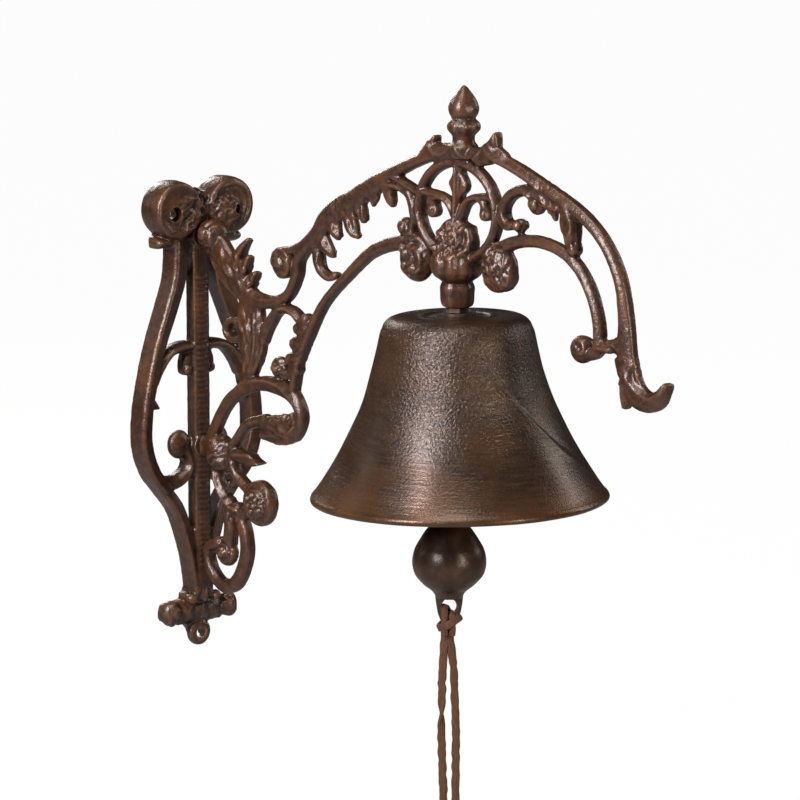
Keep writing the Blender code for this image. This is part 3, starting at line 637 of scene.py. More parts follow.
# Strokes as (section, [(x, z, width[, depth share]), ...])
ARM_STROKES = [
    (ROUND, [(243, 303.5, 6.5), (222, 301.5, 6.5), (196, 292, 7), (165, 277.5, 9.5), (136, 260, 9.5),
        (116, 242.5, 8.5), (104, 236.5, 6.5), (94, 234.5, 5)]),
    (OUTER_RIDGE, [(243, 304.5, 6), (262, 306, 6.5), (281, 303.3, 6.5), (310, 293, 7), (341, 280, 7),
        (360, 266.2, 6.4), (372.4, 247, 7), (377, 225, 9), (378, 204, 13.5), (383.5, 188.6, 15),
        (394, 183, 11.5), (403, 186, 9.5), (408, 193.5, 4)]),
    (ROUND, [(214, 299, 7), (221, 305, 9.5), (225.3, 312.3, 3, 0.8)]),
    (ROUND, [(222, 304, 8), (230, 305.5, 7.5), (240, 306, 8)]),
    (ROUND, [(112, 196, 7), (108.5, 184, 8), (104, 172, 8.5), (99, 161, 6)]),
    (ROUND, [(262, 303, 9), (270.5, 307.5, 12.5), (273.8, 314, 6.5, 0.9), (275, 318, 2.4, 0.8)]),
    (ROUND, [(272, 308, 9), (281, 304.5, 7.5)]),
    (LEAF, [(382, 196, 12), (379.5, 186, 10), (378, 178, 2.5)]),
    (ROUND, [(208, 250, 9), (190, 248.3, 8.5), (170, 241, 7.2), (151, 226.8, 5.8), (129.2, 207.8, 5.2),
        (115.2, 187.5, 5.6), (104.6, 168, 5.4), (98.7, 147, 5.8)]),
    (LOWER_RIDGE, [(274, 251.5, 8.5), (290, 258.8, 7.4), (311, 261, 6.4), (331, 256.3, 6), (346.4, 244, 6),
        (355.7, 225, 6), (356.2, 207, 6.8), (345, 202, 6)]),
    (ROOF, [(356, 207.8, 6), (366, 209.8, 7.4), (375, 213, 8)]),
    (ROUND, [(333, 280.5, 12), (333.5, 271.5, 12.5), (337.5, 259, 6.5)]),
    (LEAF, [(302, 288, 7), (313, 287, 9), (324, 283, 9)]),
    (LEAF, [(317, 287, 9), (320, 280.5, 7, 0.8), (322, 274.5, 2.2, 0.5)]),
    (UPPER_RIDGE, [(306, 287, 6.5), (297, 288.5, 6.5), (286.5, 284.5, 6.4), (281, 276, 6.2), (284, 268.8, 6),
        (291, 268.5, 5)]),
    (UPPER_RIDGE, [(182, 281, 5.5), (192, 281.5, 5), (203, 279.2, 5), (208, 269, 5), (206.5, 257, 5)]),
    (ROOF, [(190, 287, 4.5), (200, 283.5, 4.5), (212, 279.5, 4.5)]),
    (ROOF, [(121.4, 242.3, 7.8, 0.92), (122.2, 236.9, 7.8, 0.92), (123.1, 230.8, 7.8, 0.86),
        (125.7, 226.2, 7, 0.8), (132.1, 223.2, 6, 0.8), (139.2, 224.7, 3.9, 0.8)]),
    (LEAF, [(125.8, 245.8, 10.4, 0.92), (130.4, 240.8, 8.5, 0.86), (134.6, 237.1, 5.9, 0.75),
        (136.3, 235.3, 2.6, 0.57)]),
    (LEAF, [(135.7, 257.3, 11.7, 0.98), (138.1, 252.1, 9.1, 0.92), (139.8, 248.3, 6.5, 0.8),
        (140.4, 246.3, 3.1, 0.57)]),
    (LEAF, [(150.6, 262.1, 11.7, 0.98), (152.3, 256.5, 9.8, 0.92), (155.3, 251.7, 7.8, 0.8),
        (157.9, 249.2, 3.4, 0.57)]),
    (LEAF, [(159.3, 269.6, 10.4, 0.92), (161.7, 264.5, 7.2, 0.8), (163.1, 260.4, 5.7, 0.69),
        (163.3, 258.2, 2.6, 0.57)]),
    (LEAF, [(172, 277.8, 9.1, 0.8), (172.5, 273.2, 7, 0.69), (171.8, 269.8, 3.4, 0.57),
        (171.5, 268.2, 1.8, 0.46)]),
    (ROUND, [(122.7, 247.5, 10.4, 0.92), (130.5, 256.1, 13, 0.92), (141.4, 263.9, 13, 0.92),
        (152.7, 269.4, 13, 0.92), (164.9, 275.8, 11.7, 0.92), (176, 280.8, 9.1, 0.92)]),
    (ROUND, [(184.8, 279.9, 9.1, 0.92), (186, 275.7, 7.8, 0.86), (187.5, 272.1, 6, 0.75),
        (188.2, 270.3, 3.4, 0.57)]),
    (ROUND, [(116, 242, 7.5), (106, 231, 6.6), (103.2, 220, 6.4), (94.5, 207.5, 6.6), (78, 201.8, 7.8),
        (60, 203.5, 12), (45, 213.5, 18), (32, 227, 19), (20, 236, 15)]),
    (LEAF, [(45, 219, 10), (51, 230, 6.5), (58.5, 237.5, 3, 0.7)]),
    (LEAF, [(50, 213, 10), (55, 221, 7.5), (59, 227, 3.5, 0.8)]),
    (LEAF, [(55, 206, 9), (61, 213, 7.5), (65.5, 218, 3.5, 0.9)]),
    (ROUND, [(56, 151, 10), (60, 161, 13), (62.5, 173, 21, 1.1), (61, 184, 25, 1.2), (60, 197, 21)]),
    (ROUND, [(54, 185.5, 5), (44, 187, 5), (38, 181.5, 5), (42.5, 176, 5), (54, 177.5, 5)]),
    (UPPER_RIDGE, [(72, 178, 6.5), (77.5, 188, 7), (87, 198, 5.8), (97, 199.3, 5.5), (105.5, 195.5, 5.2),
        (113.5, 187, 5)]),
    (ROUND, [(104, 164.5, 6.5), (95, 160.5, 6.5), (87.5, 163, 6)]),
    (UPPER_RIDGE, [(21, 107, 10), (26.5, 120, 7.5), (41.5, 139, 7.5), (65.5, 150.8, 8.4), (89, 151.5, 10),
        (102, 145.5, 9), (106.8, 135, 8), (99.5, 126.8, 13), (86, 124.2, 15.5), (72.5, 121, 6.5)]),
    (ROOF, [(39, 104, 6.5), (46.5, 114.5, 6), (57.5, 125, 6.5), (74, 130, 7.5)]),
    (ROUND, [(73, 128.5, 8), (86, 128.5, 12), (99, 131, 12)]),
    (ROUND, [(14.4, 106, 13), (30, 106, 14), (44, 105, 9), (54, 104, 8), (61, 103, 7), (69, 102.4, 1.4)]),
    (ROOF, [(24, 101, 8), (27, 89, 7), (36, 75.5, 7), (50, 69.5, 7.5), (64, 74, 9)]),
    (ROUND, [(41, 102, 6.5), (46.5, 92, 6), (60, 83.5, 6.5)]),
    (ROUND, [(46, 72, 8), (53.5, 57.5, 8.6), (54.2, 42.3, 9), (45, 25.5, 9), (32, 21.5, 8.4), (20.7, 30, 7),
        (18.3, 42.5, 6.4), (29, 47.5, 8)]),
    (ROUND, [(38, 75, 7.5), (39.5, 60, 8.5), (38, 48, 9)]),
    (ROOF, [(243.5, 262, 6), (243.5, 279, 6), (244.6, 287, 15), (244.5, 294, 7.6), (244.5, 303, 5.5)]),
    (ROOF, [(243, 267, 6), (237.5, 275.5, 5), (229.5, 279.3, 4.6), (213, 281, 4.6)]),
    (ROOF, [(245, 267, 6), (251, 277, 4.8), (259, 281, 4.6), (272, 282, 4.6)]),
    (ROUND, [(228, 279, 4), (223, 277, 6), (223.5, 270.5, 9.5)]),
    (ROUND, [(262, 281, 4), (266.5, 278, 5), (267, 272, 8.5)]),
]

RING_CENTRE = (243.6, 272)
RING_AXES = (32, 27.5)

# Rounded lumps as (x, z, x radius, z radius, y radius)
ARM_LUMPS = [
    (92, 227.3, 9.8, 9.6, 7), (343.6, 205.6, 8.3, 7.8, 5.4), (307.5, 281.3, 5.6, 5.6, 4.8),
    (294, 268.6, 4.4, 4.2, 4.4), (87, 163.5, 7, 6.8, 4.8), (105.5, 189, 5.6, 4, 4.2),
    (102.6, 179.6, 6, 4.6, 4.2), (98.6, 169.6, 6, 4.6, 4.2), (67.8, 78, 13.8, 14.2, 8.6),
    (35.5, 42.8, 9.2, 8.8, 5.2), (209, 242, 13.2, 13.8, 7.5), (200, 259, 6.6, 5.6, 5.2),
    (277.6, 243, 12.8, 13.4, 7.5), (242.5, 255, 14.3, 13, 9.2), (24, 237, 10, 9.6, 9), (30, 106, 9, 8.4, 8),
    (31, 101, 10.5, 9, 8.6), (373.6, 202, 4.4, 5.2, 4.1), (377, 192, 4.4, 5, 4.2),
]

# Ridges and grooves of the arm as (height, half width, [line, ...]), each line through (x, z) points
ARM_LINES = [
    (0.9, 0.9, [[(124.7, 236.1), (124.6, 230.7), (127.2, 226.2), (133.5, 222.7), (140.2, 223.5)]]),
    (0.9, 0.8, [[(129.2, 245.5), (129.6, 241.4), (136.6, 237.2)], [(138, 255.1), (138.8, 250.5),
        (143.7, 247)]]),
    (-0.9, 1.2, [[(145, 261.9), (144, 257.1), (143.7, 253)], [(167.5, 272.7), (165.9, 268.5),
        (166.6, 265.3)]]),
    (0.8, 0.8, [[(151.7, 258.5), (154.2, 252), (161.1, 249)], [(163.2, 267), (164.2, 260.7),
        (166.9, 258.5)]]),
    (0.9, 1.2, [[(187, 281.5), (194, 282), (200.5, 278.5), (205.3, 272), (207.5, 265)], [(279.5, 275),
        (280.5, 269.5), (285, 266.3), (291, 267.8)], [(300, 288), (304.5, 285), (304, 280.5)], [(36, 231),
        (38.5, 222), (44, 214.5)], [(50, 229), (53.5, 221), (57, 215)], [(57.5, 220), (61, 213), (65, 208)],
        [(100, 136), (104, 131), (99, 126.5), (90, 127)], [(26, 92), (31.5, 80), (42, 72.5), (54, 71)],
        [(199.5, 252), (204, 255.5), (211, 255), (216, 251.5)]]),
    (1, 1.2, [[(219, 312), (223.5, 306), (229, 303.2), (237, 305), (243, 309)], [(57, 84), (60, 90),
        (67, 92.5), (75, 90.5), (80, 84)]]),
    (0.9, 1.1, [[(247.5, 311), (251.5, 304.5), (257.5, 302.3), (262.5, 304.5), (265.5, 309)], [(312, 288),
        (315.5, 284), (316.5, 280)], [(57, 196), (59.5, 189), (63, 183), (63.5, 175)], [(66, 195), (68, 185),
        (67.5, 174), (64, 164)]]),
    (1, 1.3, [[(267.5, 310), (273, 305.5), (283, 302.5), (298, 297.5), (309.5, 292), (315, 286)],
        [(339.5, 207), (342, 211), (347, 210), (348.5, 205.5), (344.5, 203.5)], [(84, 222), (88, 218.8),
        (95, 219.5), (99.5, 226), (97, 233), (90, 235.5), (85, 231.5), (86.5, 226.5), (91, 226)], [(49, 189),
        (55.5, 185), (60, 179), (60, 168), (57, 158)], [(47, 146.5), (57.5, 151), (72.5, 154), (86, 153.5),
        (96, 149.5), (104, 143), (106, 136)]]),
    (-0.8, 1.3, [[(271, 314), (277, 309), (290, 304)], [(62, 214), (66, 208), (72, 204)], [(53.5, 192),
        (57, 185)]]),
    (1.1, 1.4, [[(331, 284), (335.8, 278), (337.2, 270), (333, 263)]]),
    (-1.2, 2, [[(330.5, 277), (331, 270), (330, 265)]]),
    (-0.9, 1.8, [[(341, 274), (342, 268), (339, 262)]]),
    (1, 1.4, [[(377.5, 202), (382, 193.5), (389.5, 187.5), (397.5, 185.5), (405, 189), (409.5, 194)],
        [(26, 224), (31, 216), (38, 209.5), (47, 206)]]),
    (-0.7, 1.6, [[(383, 200), (387, 193), (394, 189.5)]]),
    (0.7, 1.2, [[(364, 207), (370, 209.5), (376, 209)]]),
    (-0.8, 1.2, [[(342.5, 208), (345.5, 207.5), (346, 205)], [(197, 258), (201, 261.5), (205.5, 259)]]),
    (-0.9, 1.1, [[(87.5, 223.5), (93, 222.5), (96, 227), (93, 231.5), (89.5, 231)], [(30, 45), (33, 49),
        (39, 48.5), (41.5, 43), (38, 38), (32.5, 39)], [(197.5, 241.5), (203, 241), (209, 241.8)]]),
    (-0.8, 1.6, [[(30, 226), (36, 217), (44, 210.5)]]),
    (-0.8, 1.4, [[(54, 223), (56, 217), (60, 210)], [(75, 119), (83, 119.5), (92, 121.5)]]),
    (-0.9, 1.4, [[(62.5, 196), (65, 186), (64.8, 173), (61, 160)], [(71, 192), (72, 181), (69.5, 170)],
        [(90, 131), (98, 130), (102.5, 134)]]),
    (-1.1, 1.7, [[(42, 182), (48, 181.5), (54, 181.5)]]),
    (0.8, 1.1, [[(88, 198.5), (96, 200), (103, 197), (107, 193)], [(244, 262), (244, 272), (244.3, 280),
        (244.3, 300)], [(198.5, 237), (204, 233), (210, 231)]]),
    (1.1, 1.2, [[(45, 105), (55, 106), (64, 106.4)], [(213.5, 248), (217.5, 243), (216.5, 237),
        (211.5, 233)]]),
    (-1, 1.6, [[(40, 98), (42, 105), (40, 112)]]),
    (-0.9, 1.3, [[(59, 76), (62, 86), (70, 88.5), (76.5, 83), (78, 74), (72, 68), (64, 69)]]),
    (-0.6, 1, [[(240.5, 282), (241.3, 287), (241, 292)], [(247.8, 282), (247, 287), (247.3, 292)]]),
    (-0.8, 1, [[(220, 271), (222.5, 274), (226, 272.5), (225, 269)], [(264.5, 272), (266.5, 275),
        (269.5, 273), (268.5, 270)], [(198.5, 249.5), (205, 251.5), (213, 251)]]),
    (1.1, 1, [[(271.5, 249), (272.5, 253), (275.5, 256), (280.5, 258)]]),
    (1, 0.9, [[(274.5, 247), (275.5, 251), (279.5, 254), (284.5, 253)], [(225.5, 254.5), (230, 256),
        (234.5, 256.4)], [(224.5, 249.5), (231, 251.8), (238.5, 252.2)]]),
    (-0.9, 0.9, [[(273, 247.5), (274, 252), (277.6, 255), (283, 256)]]),
    (-1, 1.1, [[(269, 237.5), (273, 239.5), (279, 238.5), (285, 240.5), (288, 246)], [(210.5, 247),
        (213.8, 242.5), (212.5, 238)]]),
    (1.2, 1.9, [[(269.5, 238), (272.5, 233.2), (279.5, 231.5), (287, 235), (290, 241)]]),
    (1.5, 1.5, [[(248, 263), (252.5, 262.6), (255.6, 259.5), (256, 254), (253.6, 249.8), (248, 246.5)]]),
    (-1.2, 1.2, [[(249.5, 260.2), (252.4, 257.6), (252.3, 253.4), (248.5, 250)]]),
    (-0.9, 0.8, [[(225.5, 252), (231, 254), (238, 254.4)]]),
    (-1, 1.2, [[(240.5, 266), (240.6, 259), (242.6, 252), (243, 247)]]),
]

# Beads on the arm's two faces as (x, z, radius, height)
ARM_BEADS = [
    (201, 247.5, 2.8, 1.2), (205.5, 245.3, 2.2, 1), (204.5, 238.5, 2.6, 0.9), (211, 236, 2.6, 0.9),
    (199.5, 259.5, 3.4, 0.8), (279.6, 244.3, 2.7, 1.2), (270.6, 245, 1.5, 0.8), (271.4, 241.4, 1.5, 0.8),
    (245.6, 259.6, 1.7, 0.8), (243, 262.4, 1.7, 0.8), (246.6, 255.6, 1.6, 0.7), (229.6, 247.2, 1.8, 0.8),
    (236, 259.4, 2, 0.9), (231.5, 259.4, 1.6, 0.8), (94.5, 134.5, 2.8, 1.5), (29, 111, 3.6, 0.9),
    (64.2, 81.6, 1.8, 1.1), (68, 83.8, 1.8, 1.1), (71.8, 81.6, 1.8, 1.1), (66, 77.8, 1.8, 1.1),
    (70.4, 77.6, 1.8, 1.1), (68, 74, 1.8, 1), (35.5, 43.2, 3.4, 1.2), (23.5, 238.5, 4.2, 0.9),
    (86.5, 164, 3.4, 0.9), (294.5, 268.7, 2.6, 0.9), (307.8, 281.3, 3.2, 0.8),
]

# Veined patches as (u, v, radius, height, vein size, degrees, stretch): the arm's (x, z), the plate's (y, z)
ARM_VEINS = [
    (24, 236, 12, 0.9, 4.4, 60, 1.5), (38, 220, 14, 0.6, 4, -40, 4), (54, 212, 14, 0.6, 3.6, -45, 4),
    (62, 187, 15, 0.85, 3.8, 80, 3), (60, 168, 13, 0.7, 3.6, 80, 3.2), (90, 163, 9, 0.8, 2.6, 0, 1.5),
    (92, 128, 16, 0.9, 4.4, 170, 1.8), (67.8, 78, 13, 0.8, 2.8, 0, 1), (209, 243, 14, 0.8, 3.4, 60, 2),
    (277, 243, 13.5, 0.9, 2.6, 100, 2), (242, 257, 14, 1.2, 2.8, 90, 1.8), (316, 284, 14, 0.4, 2.8, -70, 2),
    (334, 271, 10, 0.4, 3.4, -80, 3), (377, 196, 12, 0.6, 3, 80, 2.5), (366, 209, 9, 0.8, 2.4, 0, 2),
    (34, 105, 14, 0.9, 3.4, 0, 1.6), (35.5, 42.8, 9, 0.7, 2.6, 0, 1), (103, 178, 14, 0.35, 3, 20, 1.4),
    (150, 262, 16, 0.4, 3, -60, 2.5), (92, 228, 10, 0.5, 3, 0, 1.4), (45, 68, 9, 0.6, 2.8, 20, 1.6),
]
PLATE_VEINS = [
    (-10, 251, 14, 1.2, 4.8, 20, 1.3), (16, 249, 12, 1.3, 3.8, 30, 1.3), (2, 254, 11, 1.1, 4.6, 90, 1.2),
    (0, 4, 15, 0.3, 3.2, 90, 2.5),
]

FINIAL_X = 247.4
FINIAL = [
    (0, 343.5), (1.8, 342.2), (4, 339.5), (6, 336.8), (7.6, 334), (8.5, 331.5), (8.7, 329.3), (8, 326.6),
    (6.4, 324.6), (7.6, 323.4), (9, 321.8), (9.4, 320.2), (9, 318.2), (7.4, 316.2), (6.4, 314.8), (6.2, 312),
    (7.2, 310.4), (8.4, 309), (8, 306), (7, 302),
]
BOSS = [
    (6, 254), (10.2, 252.2), (13.2, 248.8), (14.8, 245), (15.2, 241.4), (14.5, 238), (12.6, 235), (9.9, 233),
    (8.2, 232), (9, 231), (9.8, 228.8), (9.6, 225.4), (9.5, 221.6), (9, 219), (8, 217.6),
]


def finial_shape(angle, height):
    """Three broad petals on the bud, knobs on the collar."""
    if height > 325:
        swell = math.sin(math.pi * min(1, (343.5 - height) / 18))
        return 1 + swell * (0.13 * abs(math.sin(2 * (angle + 0.35))) - 0.09)
    if 316 < height < 324:
        return 1 + 0.055 * math.cos(9 * angle)
    return 1


def boss_shape(angle, height):
    """Gadroons round the cup and soft facets on the collar under it."""
    if height > 233:
        return 1 + 0.12 * abs(math.sin(5 * angle + 0.4)) - 0.09
    return 1 + 0.05 * math.cos(5 * angle + 0.6)


def make_arm(surface):
    """The openwork arm, one casting."""
    soup = Soup()
    for i, (section, points) in enumerate(ARM_STROKES):
        soup.stroke(points, section, 0, ARM_DEPTH - ARM_STEP * (i % 5), ARM_PLANE)
    ring = [(RING_CENTRE[0] + RING_AXES[0] * math.cos(a), RING_CENTRE[1] + RING_AXES[1] * math.sin(a), 5.6)
            for a in circle(40) + [math.tau]]
    soup.stroke(ring, ROOF, 0, ARM_DEPTH + 0.1, ARM_PLANE, closed=True)
    for x, z, rx, rz, ry in ARM_LUMPS:
        soup.ball((x, 0, z), (rx, ry, rz), 28, 18)
    soup.turned(FINIAL, (FINIAL_X, 0, 0), 60, finial_shape)
    soup.turned(BOSS, (BELL_X, 0, 0), 84, boss_shape)
    arm = fused("bracket_arm_casting", soup, CASTING_VOXEL, 2)
    veined(arm.data, [0, 2], (0, 1, 0), ARM_VEINS)
    sculpt(arm.data, [0, 2], (0, 1, 0), ARM_LINES, ARM_BEADS)
    relax(arm.data, 1, 0.35)
    waver(arm.data, 0.13, 5)
    seat = Soup()
    seat.stroke([(0, 40, 30), (0, 262, 30)], SLAB, -30, 44.3, PLATE_PLANE)
    cut(arm, seat)
    thinned(arm, ARM_TRIANGLES)
    painted(arm, surface)
    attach(arm, "bracket")
    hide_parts("bracket_arm")


# ---------------------------------------------------------------- the wall plate

PLATE_DEPTH = 14.5
EAR_Y = 20.2
EAR_Z = 252.8
EAR_HOLE = (23, 250.5)
SCREW_HEIGHTS = (236, 106)
FOOT_RING_Z = -12.3

MEMBER = flat_back(crown(-0.72, 0.84, 1.5, 0.9))
DOME = flat_back(crown(0, 0.55, 2.2, 2.2))
BAR = flat_back(crown(0, 0.8, 3.0, 3.0))

# Half strokes as (section, back, front, [(y, z, width), ...]); the other half is their mirror image
PLATE_STROKES = [
    (MEMBER, 0.1, PLATE_DEPTH, [(-17.2, 246, 11), (-15.2, 232, 11), (-16.9, 210, 10.6), (-24.1, 190, 10),
        (-32.1, 170, 9.2), (-37.9, 150, 8.8), (-42, 130, 8.6), (-42.6, 110, 8.8), (-36.9, 93, 8.8),
        (-27.8, 82, 8.4)]),
    (MEMBER, 0.15, 13.2, [(-34.4, 89, 8), (-26.6, 79.5, 8), (-17.7, 68, 8), (-10.6, 50, 8), (-5.8, 32, 8),
        (-3.6, 14, 7.6)]),
    (DOME, 2, 12, [(-33, 89, 7), (-26, 84.5, 9), (-17, 84.5, 9), (-8.5, 90.5, 8), (-7.5, 98, 7),
        (-12, 106, 7)]),
    (DOME, 2.2, 12.4, [(-35, 148, 8.5), (-29.5, 157.5, 8), (-22, 165, 6.8), (-12, 167.5, 6.8),
        (0, 167, 6.4)]),
    (DOME, 3, 11, [(-5, 167, 6), (-8, 160, 8), (-9, 153, 8)]),
    (DOME, 2.5, 11.5, [(-40, 134, 13), (-36, 134.5, 9), (-32.4, 132.4, 3)]),
    (DOME, 0.25, 13, [(-29.5, 233, 8), (-8, 234.5, 7.5)]),
    (DOME, 0.3, 10.5, [(0, 3, 18), (-12, 1.5, 16), (-24, 2.5, 12)]),
    (DOME, 0.35, 12, [(0, 12, 12), (-5, 11.6, 8), (-9.6, 10.6, 6)]),
    (DOME, 0.4, 13.6, [(0, 18.4, 4.5), (-4, 18, 4), (-6.4, 17, 3)]),
    (DOME, 0.45, 12, [(0, 240, 30), (0, 226, 27), (0, 212, 14)]),
]

# Outlines turned about X, as (radius, x): the ears and the foot's small ring
EAR = [
    (0.1, 0.05), (16.4, 0.05), (17.3, 2.6), (17.8, 8.5), (17.5, 13.5), (17, 16.8), (16.2, 18.1),
    (14.9, 18.5), (13.5, 18.2), (12, 17.7), (9.5, 17.4), (0.1, 17.4),
]
FOOT_RING = [(0.1, 4.2), (7.9, 4.2), (8.3, 5.2), (8.3, 7.6), (7.2, 9.1), (5.6, 9.5), (0.1, 9.5)]

# Front detail as (height, half width, [line, ...]), each line through (y, z) points, mirrored too
PLATE_LINES = [
    (0.8, 1.3, [[(-25, 7), (-20, 9.6), (-14, 8.8)]]),
    (0.9, 1.2, [[(-26.5, 0.5), (-24.5, -4.5), (-19.5, -6.5), (-14, -4.5)]]),
    (-0.9, 1.2, [[(-16.5, 9), (-14.6, 3), (-14, -4)]]),
    (0.6, 1.6, [[(-3.2, 18), (-8, 8), (-11, -3)]]),
    (-0.8, 1.2, [[(-1.8, 18), (-4.6, 8), (-6, -5)]]),
    (0.6, 1.5, [[(0, 18), (0, 6), (0, -5)]]),
    (0.7, 1.3, [[(-30, 87), (-24, 83), (-17, 83), (-10, 88), (-7.5, 96)]]),
    (0.6, 1.3, [[(-34, 150), (-28, 159), (-20, 166), (-10, 168), (0, 167.6)]]),
]

# Fine cross ribs of the centre bar: lowest, highest and pitch
BAR_RIBS = (32, 212, 3.3)
PLATE_BEADS = [(-8.8, 153.5, 3, 0.8), (-20.5, 3.2, 4, 0.7)]

# Acanthus beads of the ears, from the ear's middle towards the other ear, as (y, z, radius, x)
EAR_BEADS = [
    (9.5, 7, 4.6, 13.6), (13.6, 0.6, 5, 13), (9.8, -6.6, 4.6, 13.6), (3, -12, 4, 14), (15.4, 8.4, 4.4, 12.2),
    (16, -6.4, 4.8, 12), (4.4, 12, 3.4, 14),
]
FAR_EAR_BEADS = [
    (4.6, 0.6, 4.8, 15), (9.4, -5.4, 4.6, 14.4), (1.6, -7.6, 4.6, 15), (9.6, 4.4, 4.2, 14.2),
    (-4.4, -4.6, 3.6, 15.2),
]

# Beads of the shell between the ears, as (y, z, radius, x)
SHELL_BEADS = [
    (-4.5, 257.5, 3, 12.5), (1.5, 259, 3, 12.2), (6, 256, 2.8, 12.4), (-7, 251, 2.8, 13), (-2, 251.5, 3, 13),
    (4.5, 250.5, 2.8, 13), (8, 261, 2.6, 11.5), (-8, 262, 2.6, 11.5),
]


def drill(plate, steps, holes):
    """Take (y, z, outline) holes, turned about X, out of the plate."""
    tool = Soup()
    for y, z, outline in holes:
        tool.turned(outline, (0, y, z), steps, axis="X")
    cut(plate, tool)


def make_plate(surface):
    """The lyre shaped wall casting with its scrolled ears, centre bar and foot."""
    soup = Soup()
    for sign, ear_beads in ((1, EAR_BEADS), (-1, FAR_EAR_BEADS)):
        for section, back, front, points in PLATE_STROKES:
            soup.stroke(points, section, back, front - back, PLATE_PLANE, mirror=sign < 0)
        soup.ball((7, -14.8 * sign, 107.6), (5, 8.2, 9), 24, 16)
        soup.ball((6.6, -22.4 * sign, 2.4), (6.2, 6.4, 8.2), 24, 16)
        soup.ball((11.2, -9.6 * sign, 10.6), (3.6, 3.2, 3.2), 18, 12)
        soup.turned(EAR, (0, -EAR_Y * sign, EAR_Z), 72, axis="X")
        for y, z, radius, x in ear_beads:
            soup.ball((x, (y - EAR_Y) * sign, EAR_Z + z), (radius, radius, radius), 14, 9)
    soup.ball((15.6, EAR_Y - 3.4, EAR_Z - 3.4), (6.2, 10.6, 9.8), 28, 18)
    soup.stroke([(0, 13, 11.9), (0, 258, 11.9)], BAR, 4.3, 9.65, PLATE_PLANE)
    soup.stroke([(0, 26, 12), (0, 14, 17), (0, 1, 28), (0, -10, 13)], DOME, 0, 8.4, PLATE_PLANE)
    soup.stroke([(-13, 251, 20), (0, 252.5, 19), (13, 251, 20)], DOME, 1.5, 15.2, PLATE_PLANE)
    soup.turned(FOOT_RING, (0, 0, FOOT_RING_Z), 48, axis="X")
    for z in SCREW_HEIGHTS:
        soup.turned([(0.1, 5.1), (7.4, 5.1), (7.4, 14), (0.1, 14)], (0, 0, z), 40, axis="X")
    for y, z, radius, x in SHELL_BEADS:
        soup.ball((x, y, z), (radius, radius, radius), 14, 9)
    plate = fused("wall_plate_casting", soup, CASTING_VOXEL, 2)
    veined(plate.data, [1, 2], (1, 0, 0), PLATE_VEINS)
    mirrored = [(height, half, [[(-y, z) for y, z in line] for line in lines])
                for height, half, lines in PLATE_LINES]
    arcs = [[(EAR_Y + r * math.cos(a), EAR_Z + r * math.sin(a)) for a in np.linspace(-0.5, 2.2, 8)]
            for r in (10.6, 13.6)]
    ribs = [[(-4.6, z), (4.6, z)] for z in np.arange(*BAR_RIBS)]
    sculpt(plate.data, [1, 2], (1, 0, 0), PLATE_LINES + mirrored + [(0.9, 1, arcs), (0.42, 0.75, ribs)],
           PLATE_BEADS + [(-y, z, r, h) for y, z, r, h in PLATE_BEADS])
    relax(plate.data, 1, 0.35)
    waver(plate.data, 0.14, 5)
    hole_y, hole_z = EAR_HOLE
    drill(plate, 40, [(-hole_y, hole_z, [(0.1, 12.5), (3.6, 12.5), (4.4, 14.5), (5.6, 30), (0.1, 30)]),
                      (-hole_y, hole_z, [(0.1, -3), (9.5, -3), (9.5, 9), (0.1, 9)])])
    bore = [(0.1, -3), (3, -3), (3, 30), (0.1, 30)]
    screw = [(0.1, -3), (5.1, -3), (5.1, 7.3), (2.8, 7.3), (2.8, 20), (0.1, 20)]
    drill(plate, 32, [(-hole_y, hole_z, bore), (hole_y, hole_z, bore),
                      (0, FOOT_RING_Z, [(0.1, -3), (4, -3), (4, 20), (0.1, 20)])]
          + [(0, z, screw) for z in SCREW_HEIGHTS])
    back = Soup()
    back.stroke([(0, -60, 200), (0, 300, 200)], SLAB, -20, 20.02, PLATE_PLANE)
    cut(plate, back)
    thinned(plate, PLATE_TRIANGLES)
    painted(plate, surface, 50)
    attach(plate, "bracket")
    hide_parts("wall_plate")


# ---------------------------------------------------------------- the bell

# Outlines as (radius, height) from the crown's edge to the lip and round it
BELL_OUTLINE = [
    (33, CROWN_Z), (36.5, 212.3), (39.4, 210.9), (41.6, 208.6), (42.9, 205.6), (44, 203), (46.4, 193),
    (50, 179), (55, 163), (61.5, 148.5), (69.4, 133.5), (77, 121), (82, 113.6), (84.6, 110.6),
]
BELL_LIP = [
    (85.1, 109.4), (84.8, 108.2), (83.9, 107.4), (82.6, 107.2), (81.2, 107.7), (80.2, 108.9),
]
BELL_WALL = 4.5

# The crease across the dented flank, as (degrees round the bell, height)
CREASE = [(-12, 176), (-5.3, 169), (8.9, 153.9), (19.5, 141.5), (34, 130)]


